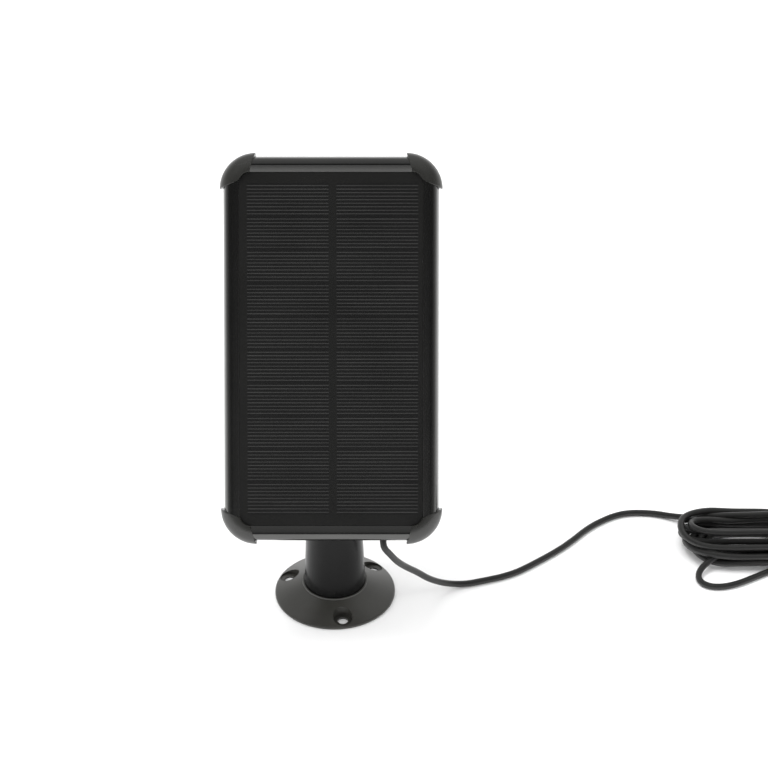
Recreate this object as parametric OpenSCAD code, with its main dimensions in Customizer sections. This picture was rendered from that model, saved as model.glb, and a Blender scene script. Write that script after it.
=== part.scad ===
// Solar charging panel on a wall bracket, with its lead folded into a hank.
// The origin is the centre of the bracket's mounting face, with +Z out of that face.
// Every part of the panel is drawn in the panel's own frame: x across, y up the panel,
// z out of its front, with its origin on the tilt axis.

/* [Solar panel] */
// Width over the corner caps
panel_w = 112; // [100:1:140]
// Height over the corner caps
panel_h = 197; // [150:1:240]
// Depth of the frame rails, front to back
panel_t = 17; // [15:0.5:19]
// Width of a rail as seen from the front
rail_face = 8.2; // [7.6:0.1:9]
// Height that the corner caps stand off the rails
cap_proud = 1.8; // [1.2:0.1:2.2]
// Outer radius of a corner cap
cap_r = 18.2; // [17.5:0.1:20]
// Corner radius of the front glass
glass_r = 5.8; // [4:0.1:7]
// Strips of cell in each of the two columns
strip_count = 10; // [6:1:14]

/* [Bracket] */
// Diameter of the wall flange
flange_d = 64.8; // [62:0.1:72]
// Diameter of the circle that the wall screws stand on
screw_circle_d = 53; // [50:0.5:56]
// Diameter of a wall screw hole
screw_hole_d = 5.5; // [4.5:0.1:6]
// Diameter of the neck where it meets the flange
neck_foot_d = 33; // [31:0.1:34]
// Diameter of the neck at its top
neck_top_d = 28.4; // [28:0.1:30]
// Height of the neck's top above the wall
neck_top_z = 60; // [58:1:66]
// Height of the tilt axis above the wall
pivot_z = 79.5; // [78.5:0.5:90]

/* [Tilt] */
// Angle that the panel leans back from the neck's own direction
panel_lean = 30; // [0:1:60]
// Distance from the tilt axis to the panel's back
panel_gap = 20; // [19:0.5:26]
// Distance from the tilt axis down to the panel's lower end
panel_drop = 34; // [33:0.5:40]

/* [Cable] */
// Diameter of the cable
cable_d = 3.5; // [3:0.1:4]

/* [Hidden] */
$fn = 96;

// Colours
anodised = [0.15, 0.15, 0.16];
cast = [0.20, 0.20, 0.19];
moulded = [0.12, 0.12, 0.12];
rubber = [0.08, 0.08, 0.08];
steel = [0.62, 0.63, 0.64];
glass = [0.06, 0.06, 0.07];
silicon = [0.10, 0.10, 0.14];

// Bracket, measured up from the wall
flange_r = flange_d / 2;
rim_t = 1.8;
neck_foot_z = 7.5;
web_z = 4.5;
pocket_r = 14;
tool_hole_r = 7;
counterbore_r = 5.2;
counterbore_floor = 1.2;
screw_angles = [-80, 40, 160];
neck_wall = 2.4;
neck_roof = 4;
neck_screw_circle_r = 10.6;
neck_boss_h = 14;
pan_shank_r = 3;
disc_t = 1;
head_z = neck_top_z + disc_t;
head_floor_z = head_z + 5;
running_fit = 0.05;

// Tilt joint, measured out from the middle of the tongue
tongue_t = 8;
knuckle_r = 9.5;
washer_t = 0.8;
ear_t = 6;
ear_in = tongue_t / 2 + washer_t;
ear_out = ear_in + ear_t;
bolt_r = 2.5;
bolt_head_x = ear_out + washer_t;
knob_x = ear_out + washer_t;
knob_l = 15;
knob_r = 12.5;
plate_t = 3;

// Panel section, with depths measured from the panel's back
outer_w = panel_w - 2 * cap_proud;
outer_h = panel_h - 2 * cap_proud;
mid_y = panel_h / 2 - panel_drop;
opening_w = outer_w - 2 * rail_face;
opening_h = outer_h - 2 * rail_face;
ledge = 4.2;
ledge_t = 1.4;
rail_wall = 1.6;
half_t = panel_t / 2;
rail_bulge_r = 16;
rail_corner_r = 4;
lip_from = 4.6;
lip_drop = 1.4;
key_r = cap_r - 2.4;
front_ledge_z = 12.6 + panel_t - 17;
cover_t = 2;
gasket_t = 0.6;
rear_ledge_z = cover_t + gasket_t;
sheet_z = front_ledge_z + 2.3;
glass_t = 1;
fit_gap = 0.1;
cap_round = 8.5;
cap_half_t = half_t + 0.9;
rail_into_cap = 3.9;
side_slant = 20;
top_slant = 15;
cap_screw_at = 8.8;
cap_screw_r = 1.25;
cap_screw_head_r = 2.3;
cap_screw_z = 1;
cover_screw_r = 1;
cover_screw_head_r = 1.9;

// Cells under the glass
backsheet_t = 1.6;
cell_t = 0.4;
column_gap = 4;
column_w = 40.7;
column_shift = 0.8;
cell_h = 16.3;
strip_pitch = 16.6;

// Cable entry on the panel's back
gland_x = 26;
gland_z = -6.5;
housing_w = 18;
housing_top = -2;
housing_bottom = -20;
housing_depth = 12;
relief_tip = -33;
cable_r = cable_d / 2;

// The cable's line from the strain relief down to the surface, and then along it
lying = 1.8;
drop_route = [
    [26, -28.3, 57.5], [26.2, -30, 54.5], [27.2, -30.3, 52], [29.3, -28.7, 48], [33, -25, 40.5],
    [37.5, -19.5, 32.5], [44, -13, 23.5], [50, -8, 15.5], [56, -3, 9], [62, 1, 4.6], [68, 3.4, 2.4],
    [73.5, 4.85, lying], [77, 5.9, lying]
];
run_route = [
    [77, 5.9, lying], [80.5, 6.95, lying], [85, 8.4, lying], [91, 10.5, lying], [99, 14.5, lying], [106, 19.5, lying],
    [113.5, 25.5, lying], [120, 31, lying], [126.5, 37, lying], [133, 44, lying],
    [139, 51, lying], [145, 57, lying], [151.5, 62, lying], [157, 65.5, lying],
    [163, 68, lying], [169, 69, lying], [175, 69, lying], [182, 68, 1.9],
    [189, 65.5, 2.4], [196, 62, 4], [203, 57.5, 7]
];
tail_route = [
    [302, 30, 6], [309, 29.2, 5.8], [315, 26.5, 5.4], [319, 22, 5], [320, 17, 4.6],
    [317.5, 12, 4.2], [314.5, 9.2, 4], [310, 8, 4], [306, 8, 4]
];

// The folded hank of cable
hank_x0 = 187;
hank_l = 122;
hank_w = 42;
hank_y = 38;
hank_h = 18;
tie_x = 262;
tie_w = 4;
tie_t = 1;

// Plug on the cable's end, lying on the surface with its mouth towards -X
plug_y = 8;
plug_z = 4;
boot_x = 306;
boot_l = 11;
grip_l = 23;
grip_w = 11;
grip_h = 8;
shell_l = 6.6;

// ---------- shared shapes ----------

// A flat rectangle with round corners, centred on the origin
module round_rect(w, h, r) {
    square([w - 2 * r, h], center = true);
    square([w, h - 2 * r], center = true);
    for (x = [-1, 1], y = [-1, 1])
        translate([x * (w / 2 - r), y * (h / 2 - r)]) circle(r);
}

// A round-cornered plate from z0 up by t
module slab(w, h, r, z0, t) {
    translate([0, 0, z0]) linear_extrude(t) round_rect(w, h, r);
}

// A flat ring from z0 up by t
module washer(r_in, r_out, z0, t) {
    translate([0, 0, z0]) difference() {
        cylinder(h = t, r = r_out);
        translate([0, 0, -1]) cylinder(h = t + 2, r = r_in);
    }
}

// Places children on the panel's frame, with its origin on the tilt axis
module on_panel() {
    translate([0, 0, pivot_z]) rotate([90 - panel_lean, 0, 0]) children();
}

// Places children on the panel's back plane, with z measured out of the back towards the front
module on_back() {
    on_panel() translate([0, 0, panel_gap]) children();
}

// Turns children so that their z points along +X, through the tilt axis
module along_tilt_axis() {
    translate([0, 0, pivot_z]) rotate([0, 90, 0]) children();
}

// A self-tapping screw with a countersunk head: its head's face at z0, pointing up +z
module countersunk_screw(r, head_r, l) {
    cylinder(h = head_r - r, r1 = head_r, r2 = r);
    cylinder(h = l, r = r);
}

// The hollow that a countersunk screw leaves, running past its head's face
module countersunk_hole(r, head_r, l) {
    countersunk_screw(r, head_r, l);
    translate([0, 0, -2]) cylinder(h = 2, r = head_r);
}

// A round wire that runs through the points
module wire(points, r) {
    for (i = [0 : len(points) - 2]) {
        run = points[i + 1] - points[i];
        turn = acos(run[2] / norm(run));
        spin = atan2(run[1], run[0]);
        translate(points[i]) rotate([0, turn, spin]) cylinder(h = norm(run), r = r, $fn = 24);
    }
    for (i = [1 : len(points) - 2]) translate(points[i]) sphere(1.04 * r, $fn = 24);
}

// ---------- swept cable ----------

function unit(v) = v / norm(v);
function tangent(p, i) = unit(p[min(i + 1, len(p) - 1)] - p[max(i - 1, 0)]);

// One ring of the tube round point i of the route, square to the route
function ring(p, i, r, sides) =
    let (t = tangent(p, i), side = unit(cross(t, [0, 0, 1])), up = cross(side, t))
    [for (k = [0 : sides - 1]) p[i] + r * (cos(360 * k / sides) * side + sin(360 * k / sides) * up)];

// A closed tube of radius r along the route
module tube(p, r, sides = 8) {
    n = len(p);
    points = [for (i = [0 : n - 1]) each ring(p, i, r, sides)];
    walls = [
        for (i = [0 : n - 2], k = [0 : sides - 1])
        [i * sides + k, (i + 1) * sides + k, (i + 1) * sides + (k + 1) % sides, i * sides + (k + 1) % sides]
    ];
    first = [for (k = [0 : sides - 1]) k];
    last = [for (k = [sides - 1 : -1 : 0]) (n - 1) * sides + k];
    polyhedron(points, concat(walls, [first], [last]), convexity = 6);
}

// ---------- bracket ----------

// Places children at the three screws that join the neck to the flange
module at_neck_screws() {
    for (a = [-20, 100, 220]) rotate(a) translate([neck_screw_circle_r, 0, 0]) children();
}

module mount_flange() color(cast) difference() {
    rotate_extrude() polygon([
        [tool_hole_r, web_z], [pocket_r, web_z], [pocket_r, 0], [flange_r - 0.4, 0],
        [flange_r, 0.4], [flange_r, rim_t - 0.5], [flange_r - 0.5, rim_t],
        [neck_foot_d / 2 + 1.1, 8.1], [neck_foot_d / 2 + 0.9, 8.7], [neck_foot_d / 2 + 0.1, 8.7],
        [neck_foot_d / 2 + 0.1, neck_foot_z], [tool_hole_r, neck_foot_z]
    ]);
    for (a = screw_angles) rotate(a) translate([screw_circle_d / 2, 0, 0]) {
        translate([0, 0, -1]) cylinder(h = 12, d = screw_hole_d);
        translate([0, 0, counterbore_floor]) cylinder(h = 12, r = counterbore_r);
    }
    at_neck_screws() translate([0, 0, web_z - 1]) cylinder(h = 5, r = 1.6);
}

module neck() color(cast) {
    shaft_h = neck_top_z - neck_foot_z;
    foot_r = neck_foot_d / 2;
    top_r = neck_top_d / 2;
    cavity_h = shaft_h - neck_roof;
    difference() {
        union() {
            difference() {
                translate([0, 0, neck_foot_z]) rotate_extrude() polygon([
                    [0, 0], [foot_r, 0], [top_r + 0.04, shaft_h - 0.8], [top_r - 0.7, shaft_h], [0, shaft_h]
                ]);
                translate([0, 0, neck_foot_z - 1])
                    cylinder(h = cavity_h + 1, r1 = foot_r - neck_wall, r2 = top_r - neck_wall);
            }
            intersection() {
                at_neck_screws() translate([0, 0, neck_foot_z]) cylinder(h = neck_boss_h, r = 3.3);
                translate([0, 0, neck_foot_z]) cylinder(h = neck_boss_h, r = foot_r - neck_wall + 0.6);
            }
        }
        cylinder(h = neck_top_z + 1, r = pan_shank_r + running_fit);
        at_neck_screws() translate([0, 0, neck_foot_z - 1]) cylinder(h = neck_boss_h - 2, r = 1.25);
    }
}

module neck_screws() color(steel) at_neck_screws() {
    translate([0, 0, web_z - 2]) difference() {
        cylinder(h = 2, r = 2.8);
        translate([0, 0, -0.1]) cylinder(h = 1.2, r = 1.3, $fn = 6);
    }
    translate([0, 0, web_z]) cylinder(h = 12, r = 1.25);
}

module pan_friction_disc() color([0.85, 0.84, 0.80]) washer(pan_shank_r + 0.5, 12, neck_top_z, disc_t);

module swivel_ear(x0) {
    translate([x0, 0, 0]) difference() {
        translate([0, 0, pivot_z]) rotate([90, 0, 90]) linear_extrude(ear_t) {
            circle(knuckle_r);
            polygon([
                [-knuckle_r, 0], [knuckle_r, 0],
                [knuckle_r + 1.5, head_floor_z - pivot_z - 1], [-knuckle_r - 1.5, head_floor_z - pivot_z - 1]
            ]);
        }
        translate([-1, 0, pivot_z]) rotate([0, 90, 0]) cylinder(h = ear_t + 2, r = bolt_r);
    }
}

module swivel_head() color(cast) {
    difference() {
        union() {
            translate([0, 0, head_z]) rotate_extrude() polygon([
                [0, 0], [neck_top_d / 2 - 0.7, 0], [neck_top_d / 2, 0.7], [neck_top_d / 2, 3.6],
                [neck_top_d / 2 - 1.4, head_floor_z - head_z], [0, head_floor_z - head_z]
            ]);
            swivel_ear(ear_in);
            swivel_ear(-ear_out);
        }
        translate([0, 0, head_z - 1]) cylinder(h = head_floor_z - head_z + 0.4, r = pan_shank_r);
    }
}

module pan_bolt() color(steel) {
    roof_z = neck_top_z - neck_roof;
    translate([0, 0, roof_z - 1.2 - 4]) difference() {
        cylinder(h = 4, r = 5.6, $fn = 6);
        translate([0, 0, -0.1]) cylinder(h = 2.6, r = 2.9, $fn = 6);
    }
    translate([0, 0, roof_z - 1.2]) cylinder(h = head_floor_z - 0.6 - roof_z + 1.2, r = pan_shank_r);
}

module pan_spring_washer() color(steel) difference() {
    washer(pan_shank_r + 0.1, 5.5, neck_top_z - neck_roof - 1.2, 1.2);
    translate([0, -0.4, neck_top_z - neck_roof - 2]) cube([8, 0.8, 3]);
}

module tilt_bolt() color(steel) along_tilt_axis() {
    translate([0, 0, bolt_head_x]) difference() {
        cylinder(h = 3.4, r = 4.6, $fn = 6);
        translate([0, 0, 2.6]) cylinder(h = 2, r = 2.2);
    }
    translate([0, 0, -knob_x - 10]) cylinder(h = knob_x + 10 + bolt_head_x, r = bolt_r);
}

module tilt_washers() color(steel) along_tilt_axis() {
    washer(bolt_r + 0.1, 8, tongue_t / 2, washer_t);
    washer(bolt_r + 0.1, 8, -ear_in, washer_t);
    washer(bolt_r + 0.1, 5.5, ear_out, washer_t);
    washer(bolt_r + 0.1, 5.5, -knob_x, washer_t);
}

module tilt_knob() color(moulded) along_tilt_axis() difference() {
    translate([0, 0, -knob_x - knob_l]) rotate_extrude() polygon([
        [0, 0], [knob_r - 2.4, 0], [knob_r - 0.7, 0.7], [knob_r, 2.2], [knob_r, knob_l - 5.2],
        [knob_r - 1, knob_l - 4.2], [7.4, knob_l - 3.6], [7.4, 0.4 + knob_l - 0.7], [7.1, knob_l], [0, knob_l]
    ]);
    for (a = [0 : 60 : 300]) rotate(a) translate([knob_r + 3.4, 0, -knob_x - knob_l - 1])
        cylinder(h = knob_l + 2, r = 5);
    translate([0, 0, -knob_x - 11]) cylinder(h = 12, r = 4);
    translate([0, 0, -knob_x - knob_l - 1]) cylinder(h = 1.8, r = 6.4);
}

module knob_insert() color([0.78, 0.62, 0.30]) along_tilt_axis()
    washer(bolt_r + running_fit, 4, -knob_x - 11, 11);

// ---------- panel bracket ----------

// Places children at the screws that hold the bracket to the panel's back
module at_bracket_screws() {
    for (x = [-12, 12], y = [-7, 29]) translate([x, y, 0]) children();
}

module panel_bracket() color(moulded) on_panel() difference() {
    plate_z = panel_gap - plate_t;
    union() {
        translate([0, 11, plate_z]) linear_extrude(plate_t) round_rect(32, 44, 5);
        translate([-tongue_t / 2, 0, 0]) rotate([90, 0, 90]) linear_extrude(tongue_t) {
            circle(knuckle_r);
            polygon([[-knuckle_r, 0], [knuckle_r, 0], [20, plate_z + 1], [-knuckle_r - 1, plate_z + 1]]);
        }
        for (x = [-13.5, 10.5]) translate([x, 0, 0]) rotate([90, 0, 90]) linear_extrude(3)
            polygon([[2, plate_z - 4.5], [8, plate_z - 4.5], [22, plate_z + 1], [-3, plate_z + 1]]);
        translate([-12, 3, plate_z - 4.5]) cube([24, 4, 5]);
    }
    translate([-tongue_t / 2 - 1, 0, 0]) rotate([0, 90, 0])
        cylinder(h = tongue_t + 2, r = bolt_r + running_fit);
    at_bracket_screws() translate([0, 0, plate_z]) countersunk_hole(1.5, 2.9, plate_t + 1);
}

module bracket_screws() color(steel) on_panel() at_bracket_screws()
    translate([0, 0, panel_gap - plate_t]) countersunk_screw(1.5, 2.9, plate_t + cover_t + 2.5);

// ---------- frame ----------

// An oval nose of half-height h: a bulging side of radius bulge_r, corners of radius corner_r that run
// smoothly into it, and a flat body that reaches in to x = w. Its tip is at x = 0 and its middle at y = 0
module oval_nose(w, h, bulge_r, corner_r) {
    rise = h - corner_r;
    reach = sqrt(pow(bulge_r - corner_r, 2) - rise * rise);
    corner_x = bulge_r - reach;
    far = bulge_r / (bulge_r - corner_r);
    intersection() {
        translate([bulge_r, 0]) circle(bulge_r);
        polygon([
            [bulge_r, 0], [bulge_r - far * reach, far * rise], [-1, 0], [bulge_r - far * reach, -far * rise]
        ]);
        translate([-1, -h]) square([w + 1, 2 * h]);
    }
    intersection() {
        for (side = [-1, 1]) translate([corner_x, side * rise]) circle(corner_r);
        translate([-1, -h]) square([w + 1, 2 * h]);
    }
    translate([corner_x, -h]) square([w - corner_x, 2 * h]);
}

// A rail's outline, with x inwards from the rail's outer edge and y up from the panel's back
module rail_outline() {
    difference() {
        translate([0, half_t]) oval_nose(rail_face, half_t, rail_bulge_r, rail_corner_r);
        polygon([[lip_from, panel_t], [rail_face + 1, panel_t - lip_drop], [rail_face + 1, panel_t + 1]]);
    }
    translate([rail_face - 1, front_ledge_z - ledge_t]) square([ledge + 1, ledge_t]);
    translate([rail_face - 1, rear_ledge_z]) square([ledge + 1, ledge_t]);
}

module rail_section() difference() {
    rail_outline();
    translate([rail_wall, half_t]) oval_nose(
        rail_face - 2 * rail_wall + 0.2, half_t - rail_wall,
        rail_bulge_r - rail_wall, rail_corner_r - rail_wall
    );
}

side_rail_l = panel_h - 2 * cap_r + 2 * rail_into_cap;
end_rail_l = panel_w - 2 * cap_r + 2 * rail_into_cap;

// Stands a rail's section along the right side of the panel
module along_side(l) {
    translate([outer_w / 2, mid_y + l / 2, 0]) rotate([90, 0, 0]) mirror([1, 0, 0])
        linear_extrude(l) children();
}

// Lays a rail's section along the top of the panel
module along_top(l) {
    translate([-l / 2, mid_y + outer_h / 2, 0]) rotate([90, 0, 90]) mirror([1, 0, 0])
        linear_extrude(l) children();
}

// Mirrors children about the panel's middle height
module upside_down() {
    translate([0, mid_y, 0]) mirror([0, 1, 0]) translate([0, -mid_y, 0]) children();
}

// Places children at the screws that hold the back cover
module at_cover_screws() {
    inset = rail_face + 2.3;
    for (x = [-1, 1], y = [-0.36, -0.12, 0.12, 0.36])
        translate([x * (outer_w / 2 - inset), mid_y + y * outer_h, 0]) children();
    for (x = [-24, 24], y = [-1, 1]) translate([x, mid_y + y * (outer_h / 2 - inset), 0]) children();
}

module cover_screw_holes() {
    at_cover_screws() countersunk_hole(cover_screw_r, cover_screw_head_r, 6);
}

module rail_right() color(anodised) on_back() difference() {
    along_side(side_rail_l) rail_section();
    cover_screw_holes();
}

module rail_left() color(anodised) on_back() difference() {
    mirror([1, 0, 0]) along_side(side_rail_l) rail_section();
    cover_screw_holes();
}

module rail_top() color(anodised) on_back() difference() {
    along_top(end_rail_l) rail_section();
    cover_screw_holes();
}

module rail_bottom() color(anodised) on_back() difference() {
    upside_down() along_top(end_rail_l) rail_section();
    cover_screw_holes();
}

// Places a shape made for the top right corner, with its origin at the centre of the cap's round
module at_corner(right, top) {
    translate([0, mid_y, 0])
        mirror([right ? 0 : 1, 0, 0]) mirror([0, top ? 0 : 1, 0])
        translate([panel_w / 2 - cap_r, panel_h / 2 - cap_r, 0]) children();
}

// The angle piece that joins two rails inside a corner
module corner_key() {
    near = cap_r - cap_proud - 6.6;
    far = cap_r - cap_proud - 2.8;
    translate([0, 0, half_t - 3.5]) linear_extrude(7) difference() {
        intersection() {
            union() {
                translate([-8, near]) square([far + 8, far - near]);
                translate([near, -8]) square([far - near, far + 8]);
                translate([5.6, 5.6]) square([far - 5.6, far - 5.6]);
            }
            circle(key_r);
        }
        translate([cap_screw_at, cap_screw_at]) circle(cap_screw_r);
    }
}

module corner_keys() color(steel) on_back()
    for (right = [true, false], top = [true, false]) at_corner(right, top) corner_key();

// The panel's opening as seen from the corner, reaching in past the panel's middle
module opening_at_corner(reach, r) {
    far = 60;
    difference() {
        translate([-far, -far]) square([far + reach, far + reach]);
        translate([reach - r, reach - r]) difference() {
            square([r + 1, r + 1]);
            circle(r);
        }
    }
}

module corner_cap(right, top) color(moulded) on_back() at_corner(right, top) {
    inside = cap_r - cap_proud - rail_face;
    ledge_in = inside - ledge;
    difference() {
        rotate_extrude(angle = 90) intersection() {
            translate([0, half_t]) round_rect(2 * cap_r, 2 * cap_half_t, cap_round);
            translate([0, -5]) square([cap_r + 5, panel_t + 10]);
        }
        translate([0, 0, -5]) linear_extrude(panel_t + 10) {
            polygon([[-1, cap_r + 1], [0, cap_r], [cap_r * tan(top_slant), 0], [-1, -1]]);
            polygon([[cap_r + 1, -1], [cap_r, 0], [0, cap_r * tan(side_slant)], [-1, -1]]);
        }
        for (layer = [
            [front_ledge_z, 10, inside, glass_r],
            [rear_ledge_z + ledge_t, front_ledge_z - rear_ledge_z - 2 * ledge_t, inside, glass_r],
            [-5, 5 + rear_ledge_z, inside, glass_r],
            [rear_ledge_z - 1, front_ledge_z - rear_ledge_z + 1, ledge_in, 2.5]
        ]) translate([0, 0, layer[0]]) linear_extrude(layer[1]) opening_at_corner(layer[2], layer[3]);
        translate([rail_into_cap, cap_r - cap_proud, 0]) rotate([90, 0, -90])
            linear_extrude(20) rail_outline();
        translate([cap_r - cap_proud, rail_into_cap, 0]) rotate([90, 0, 0])
            linear_extrude(20) mirror([1, 0, 0]) rail_outline();
        corner_key();
        translate([cap_screw_at, cap_screw_at, cap_screw_z])
            countersunk_hole(cap_screw_r, cap_screw_head_r, 10);
    }
}

module corner_cap_top_left() corner_cap(false, true);
module corner_cap_top_right() corner_cap(true, true);
module corner_cap_bottom_left() corner_cap(false, false);
module corner_cap_bottom_right() corner_cap(true, false);

module cap_screws() color(steel) on_back()
    for (right = [true, false], top = [true, false]) at_corner(right, top)
        translate([cap_screw_at, cap_screw_at, cap_screw_z])
            countersunk_screw(cap_screw_r, cap_screw_head_r, 9.5);

// ---------- solar laminate ----------

// A sheet that fills the opening in the frame
module opening_sheet(z0, t) {
    translate([0, mid_y, 0]) slab(opening_w - 2 * fit_gap, opening_h - 2 * fit_gap, glass_r - fit_gap, z0, t);
}

// The places of one column's cells; side is -1 for the left column and 1 for the right
module column(side, margin, z0, t) {
    for (i = [0 : strip_count - 1])
        translate([
            column_shift + side * (column_gap + column_w) / 2 - column_w / 2 - margin,
            mid_y + (i - strip_count / 2) * strip_pitch + (strip_pitch - cell_h) / 2 - margin, z0
        ]) cube([column_w + 2 * margin, cell_h + 2 * margin, t]);
}

module ribbon_places(margin) {
    for (x = [-1, 1]) translate([
        column_shift + x * (column_gap + column_w) / 2 - 1 - margin,
        mid_y - strip_count * strip_pitch / 2 + 2, front_ledge_z + backsheet_t - margin
    ]) cube([2 + 2 * margin, strip_count * strip_pitch - 4, 0.2 + margin]);
}

module solar_glass() color(glass) on_back() opening_sheet(sheet_z, glass_t);

module cells_left() color(silicon) on_back() column(-1, 0, sheet_z - cell_t, cell_t);

module cells_right() color(silicon) on_back() column(1, 0, sheet_z - cell_t, cell_t);

module encapsulant() color([0.10, 0.10, 0.10]) on_back() difference() {
    opening_sheet(front_ledge_z + backsheet_t, sheet_z - front_ledge_z - backsheet_t);
    for (side = [-1, 1]) column(side, 0, sheet_z - cell_t, cell_t + 1);
    ribbon_places(0);
}

module bus_ribbons() color([0.75, 0.74, 0.70]) on_back() ribbon_places(0);

module backsheet() color([0.16, 0.17, 0.16]) on_back() opening_sheet(front_ledge_z, backsheet_t);

// ---------- back cover ----------

board_x = -8;
board_y = 66;
board_w = 44;
board_h = 26;
standoff_h = 3;
board_z = cover_t + standoff_h;

// Places children at the board's two screws
module at_board_screws() {
    for (s = [-1, 1])
        translate([board_x + s * (board_w / 2 - 4), board_y + s * (board_h / 2 - 4), 0]) children();
}

// Places children at the two screws of the cable's housing
module at_housing_screws() {
    for (s = [-1, 1]) translate([
        gland_x + s * (housing_w / 2 - 2.8), (housing_top + housing_bottom) / 2 + s * 6.2, 0
    ]) children();
}

module back_cover() color(moulded) on_back() difference() {
    union() {
        opening_sheet(0, cover_t);
        for (x = [-30, 0, 30]) translate([x - 0.8, mid_y - 50, cover_t]) cube([1.6, 30, 2.4]);
        for (x = [-30, 0, 30]) translate([x - 0.8, mid_y + 30, cover_t]) cube([1.6, 40, 2.4]);
        at_bracket_screws() translate([0, 0, cover_t]) cylinder(h = 3.5, r = 3.4);
        at_board_screws() translate([0, 0, cover_t]) cylinder(h = standoff_h, r = 2.8);
        at_housing_screws() translate([0, 0, cover_t]) cylinder(h = 2.5, r = 2.2);
    }
    at_bracket_screws() translate([0, 0, -1]) cylinder(h = 5.5, r = 1.5);
    at_board_screws() translate([0, 0, 1]) cylinder(h = 6, r = 1);
    at_housing_screws() translate([0, 0, -1]) cylinder(h = 4.5, r = 1.1);
    cover_screw_holes();
    translate([gland_x, housing_top - 5, -1]) cylinder(h = 5, r = 3);
}

module cover_gasket() color(rubber) on_back() difference() {
    opening_sheet(cover_t, gasket_t);
    translate([0, mid_y, 0])
        slab(opening_w - 2 * ledge + 0.6, opening_h - 2 * ledge + 0.6, 3, cover_t - 1, gasket_t + 2);
    cover_screw_holes();
}

module cover_screws() color(steel) on_back()
    at_cover_screws() countersunk_screw(cover_screw_r, cover_screw_head_r, 6);

// ---------- charge board ----------

module charge_board() color([0.05, 0.28, 0.16]) on_back() difference() {
    translate([board_x, board_y, 0]) slab(board_w, board_h, 1.5, board_z, 1.2);
    at_board_screws() translate([0, 0, board_z - 1]) cylinder(h = 4, r = 1.1);
}

module board_parts() color([0.12, 0.12, 0.13]) on_back() translate([board_x, board_y, board_z + 1.2]) {
    translate([-4, 0, 0]) slab(7, 7, 0.8, 0, 3.2);
    translate([6, 4, 0]) slab(4, 5, 0.3, 0, 1.2);
    translate([6, -5, 0]) slab(5, 3, 0.3, 0, 1.4);
    translate([14, -4, 0]) cylinder(h = 4.6, r = 2.4);
    translate([-15, -5, 0]) slab(6, 4, 0.4, 0, 2.2);
}

module board_screws() color(steel) on_back() at_board_screws() {
    translate([0, 0, board_z + 1.2]) cylinder(h = 1.4, r = 2);
    translate([0, 0, 1]) cylinder(h = board_z + 0.2, r = 1);
}

module panel_leads() color([0.6, 0.1, 0.1]) on_back()
    for (x = [-12, -8]) wire([
        [board_x + x, board_y + 8, board_z + 1.2],
        [board_x + x, board_y + 8, board_z + 4],
        [board_x + x - 5, board_y + 12, front_ledge_z - 2],
        [board_x + x - 5, board_y + 12, front_ledge_z]
    ], 0.7);

module output_leads() color([0.5, 0.08, 0.08]) on_back()
    for (s = [-1, 1]) wire([
        [board_x + 14 + 1.2 * s, board_y + 4, board_z + 1.2],
        [board_x + 14 + 1.2 * s, board_y + 4, 8.6],
        [gland_x - 5 + 1.2 * s, board_y - 14, 8.6],
        [gland_x + 1.2 * s, housing_top + 5, 8.6],
        [gland_x + 1.2 * s, housing_top - 5, 6],
        [gland_x + 1.2 * s, housing_top - 5, -4],
        [gland_x + 0.8 * s, housing_top - 9, gland_z],
        [gland_x + 0.8 * s, housing_bottom + 6, gland_z]
    ], 0.6);

// ---------- cable entry ----------

module gland_housing() color(moulded) on_back() difference() {
    mid = (housing_top + housing_bottom) / 2;
    span = housing_top - housing_bottom;
    union() {
        translate([gland_x, mid, 0]) slab(housing_w, span, 3, 1.2 - housing_depth, housing_depth - 1.2);
        translate([gland_x, mid, 0]) slab(housing_w - 2, span - 2, 2.2, -housing_depth, 1.4);
    }
    translate([gland_x, mid, 0]) difference() {
        slab(housing_w - 3.2, span - 3.2, 1.6, 1.6 - housing_depth, housing_depth);
        for (s = [-1, 1]) translate([s * (housing_w / 2 - 2.8), s * 6.2, -housing_depth])
            cylinder(h = housing_depth, r = 2.2);
    }
    at_housing_screws() translate([0, 0, -housing_depth]) countersunk_hole(1.1, 2.1, housing_depth + 1);
    translate([gland_x, housing_bottom - 1, gland_z]) rotate([-90, 0, 0]) cylinder(h = 4, r = 3.2);
}

module housing_screws() color(steel) on_back() at_housing_screws()
    translate([0, 0, -housing_depth]) countersunk_screw(1.1, 2.1, housing_depth + 3.4);

// Stands children with z pointing out of the housing, down the panel
module at_gland() {
    on_back() translate([gland_x, housing_bottom, gland_z]) rotate([90, 0, 0]) children();
}

module strain_relief() color(rubber) at_gland() rotate_extrude() {
    tip = housing_bottom - relief_tip;
    polygon([
        [cable_r, -3], [3.8, -3], [3.8, -1.6], [3.2, -1.6], [3.2, 0], [4.6, 0], [4.6, 1.2], [4, 1.8],
        [3.5, 2.4], [2.6, tip - 0.6], [2.3, tip], [cable_r, tip]
    ]);
}

module cable_entry() color(rubber) at_gland()
    translate([0, 0, -6]) cylinder(h = housing_bottom - relief_tip + 6, r = cable_r);

// ---------- cable ----------

module cable_drop() color(rubber) tube(drop_route, cable_r);

module cable_run() color(rubber) tube(run_route, cable_r);

module cable_tail() color(rubber) tube(tail_route, cable_r);

// A flat bar with round ends along X, from x0 for length l, standing on the surface
module bar(x0, y, l, w, h) {
    translate([0, y, 0]) linear_extrude(h) {
        translate([x0 + w / 2, -w / 2]) square([l - w, w]);
        translate([x0 + w / 2, 0]) circle(w / 2);
        translate([x0 + l - w / 2, 0]) circle(w / 2);
    }
}

// The tie's outer and inner outlines, as seen along X
module tie_outline(inset) {
    translate([hank_y, hank_h / 2]) round_rect(hank_w - 2 * inset, hank_h - 2 * inset, 4 - inset);
}

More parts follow.
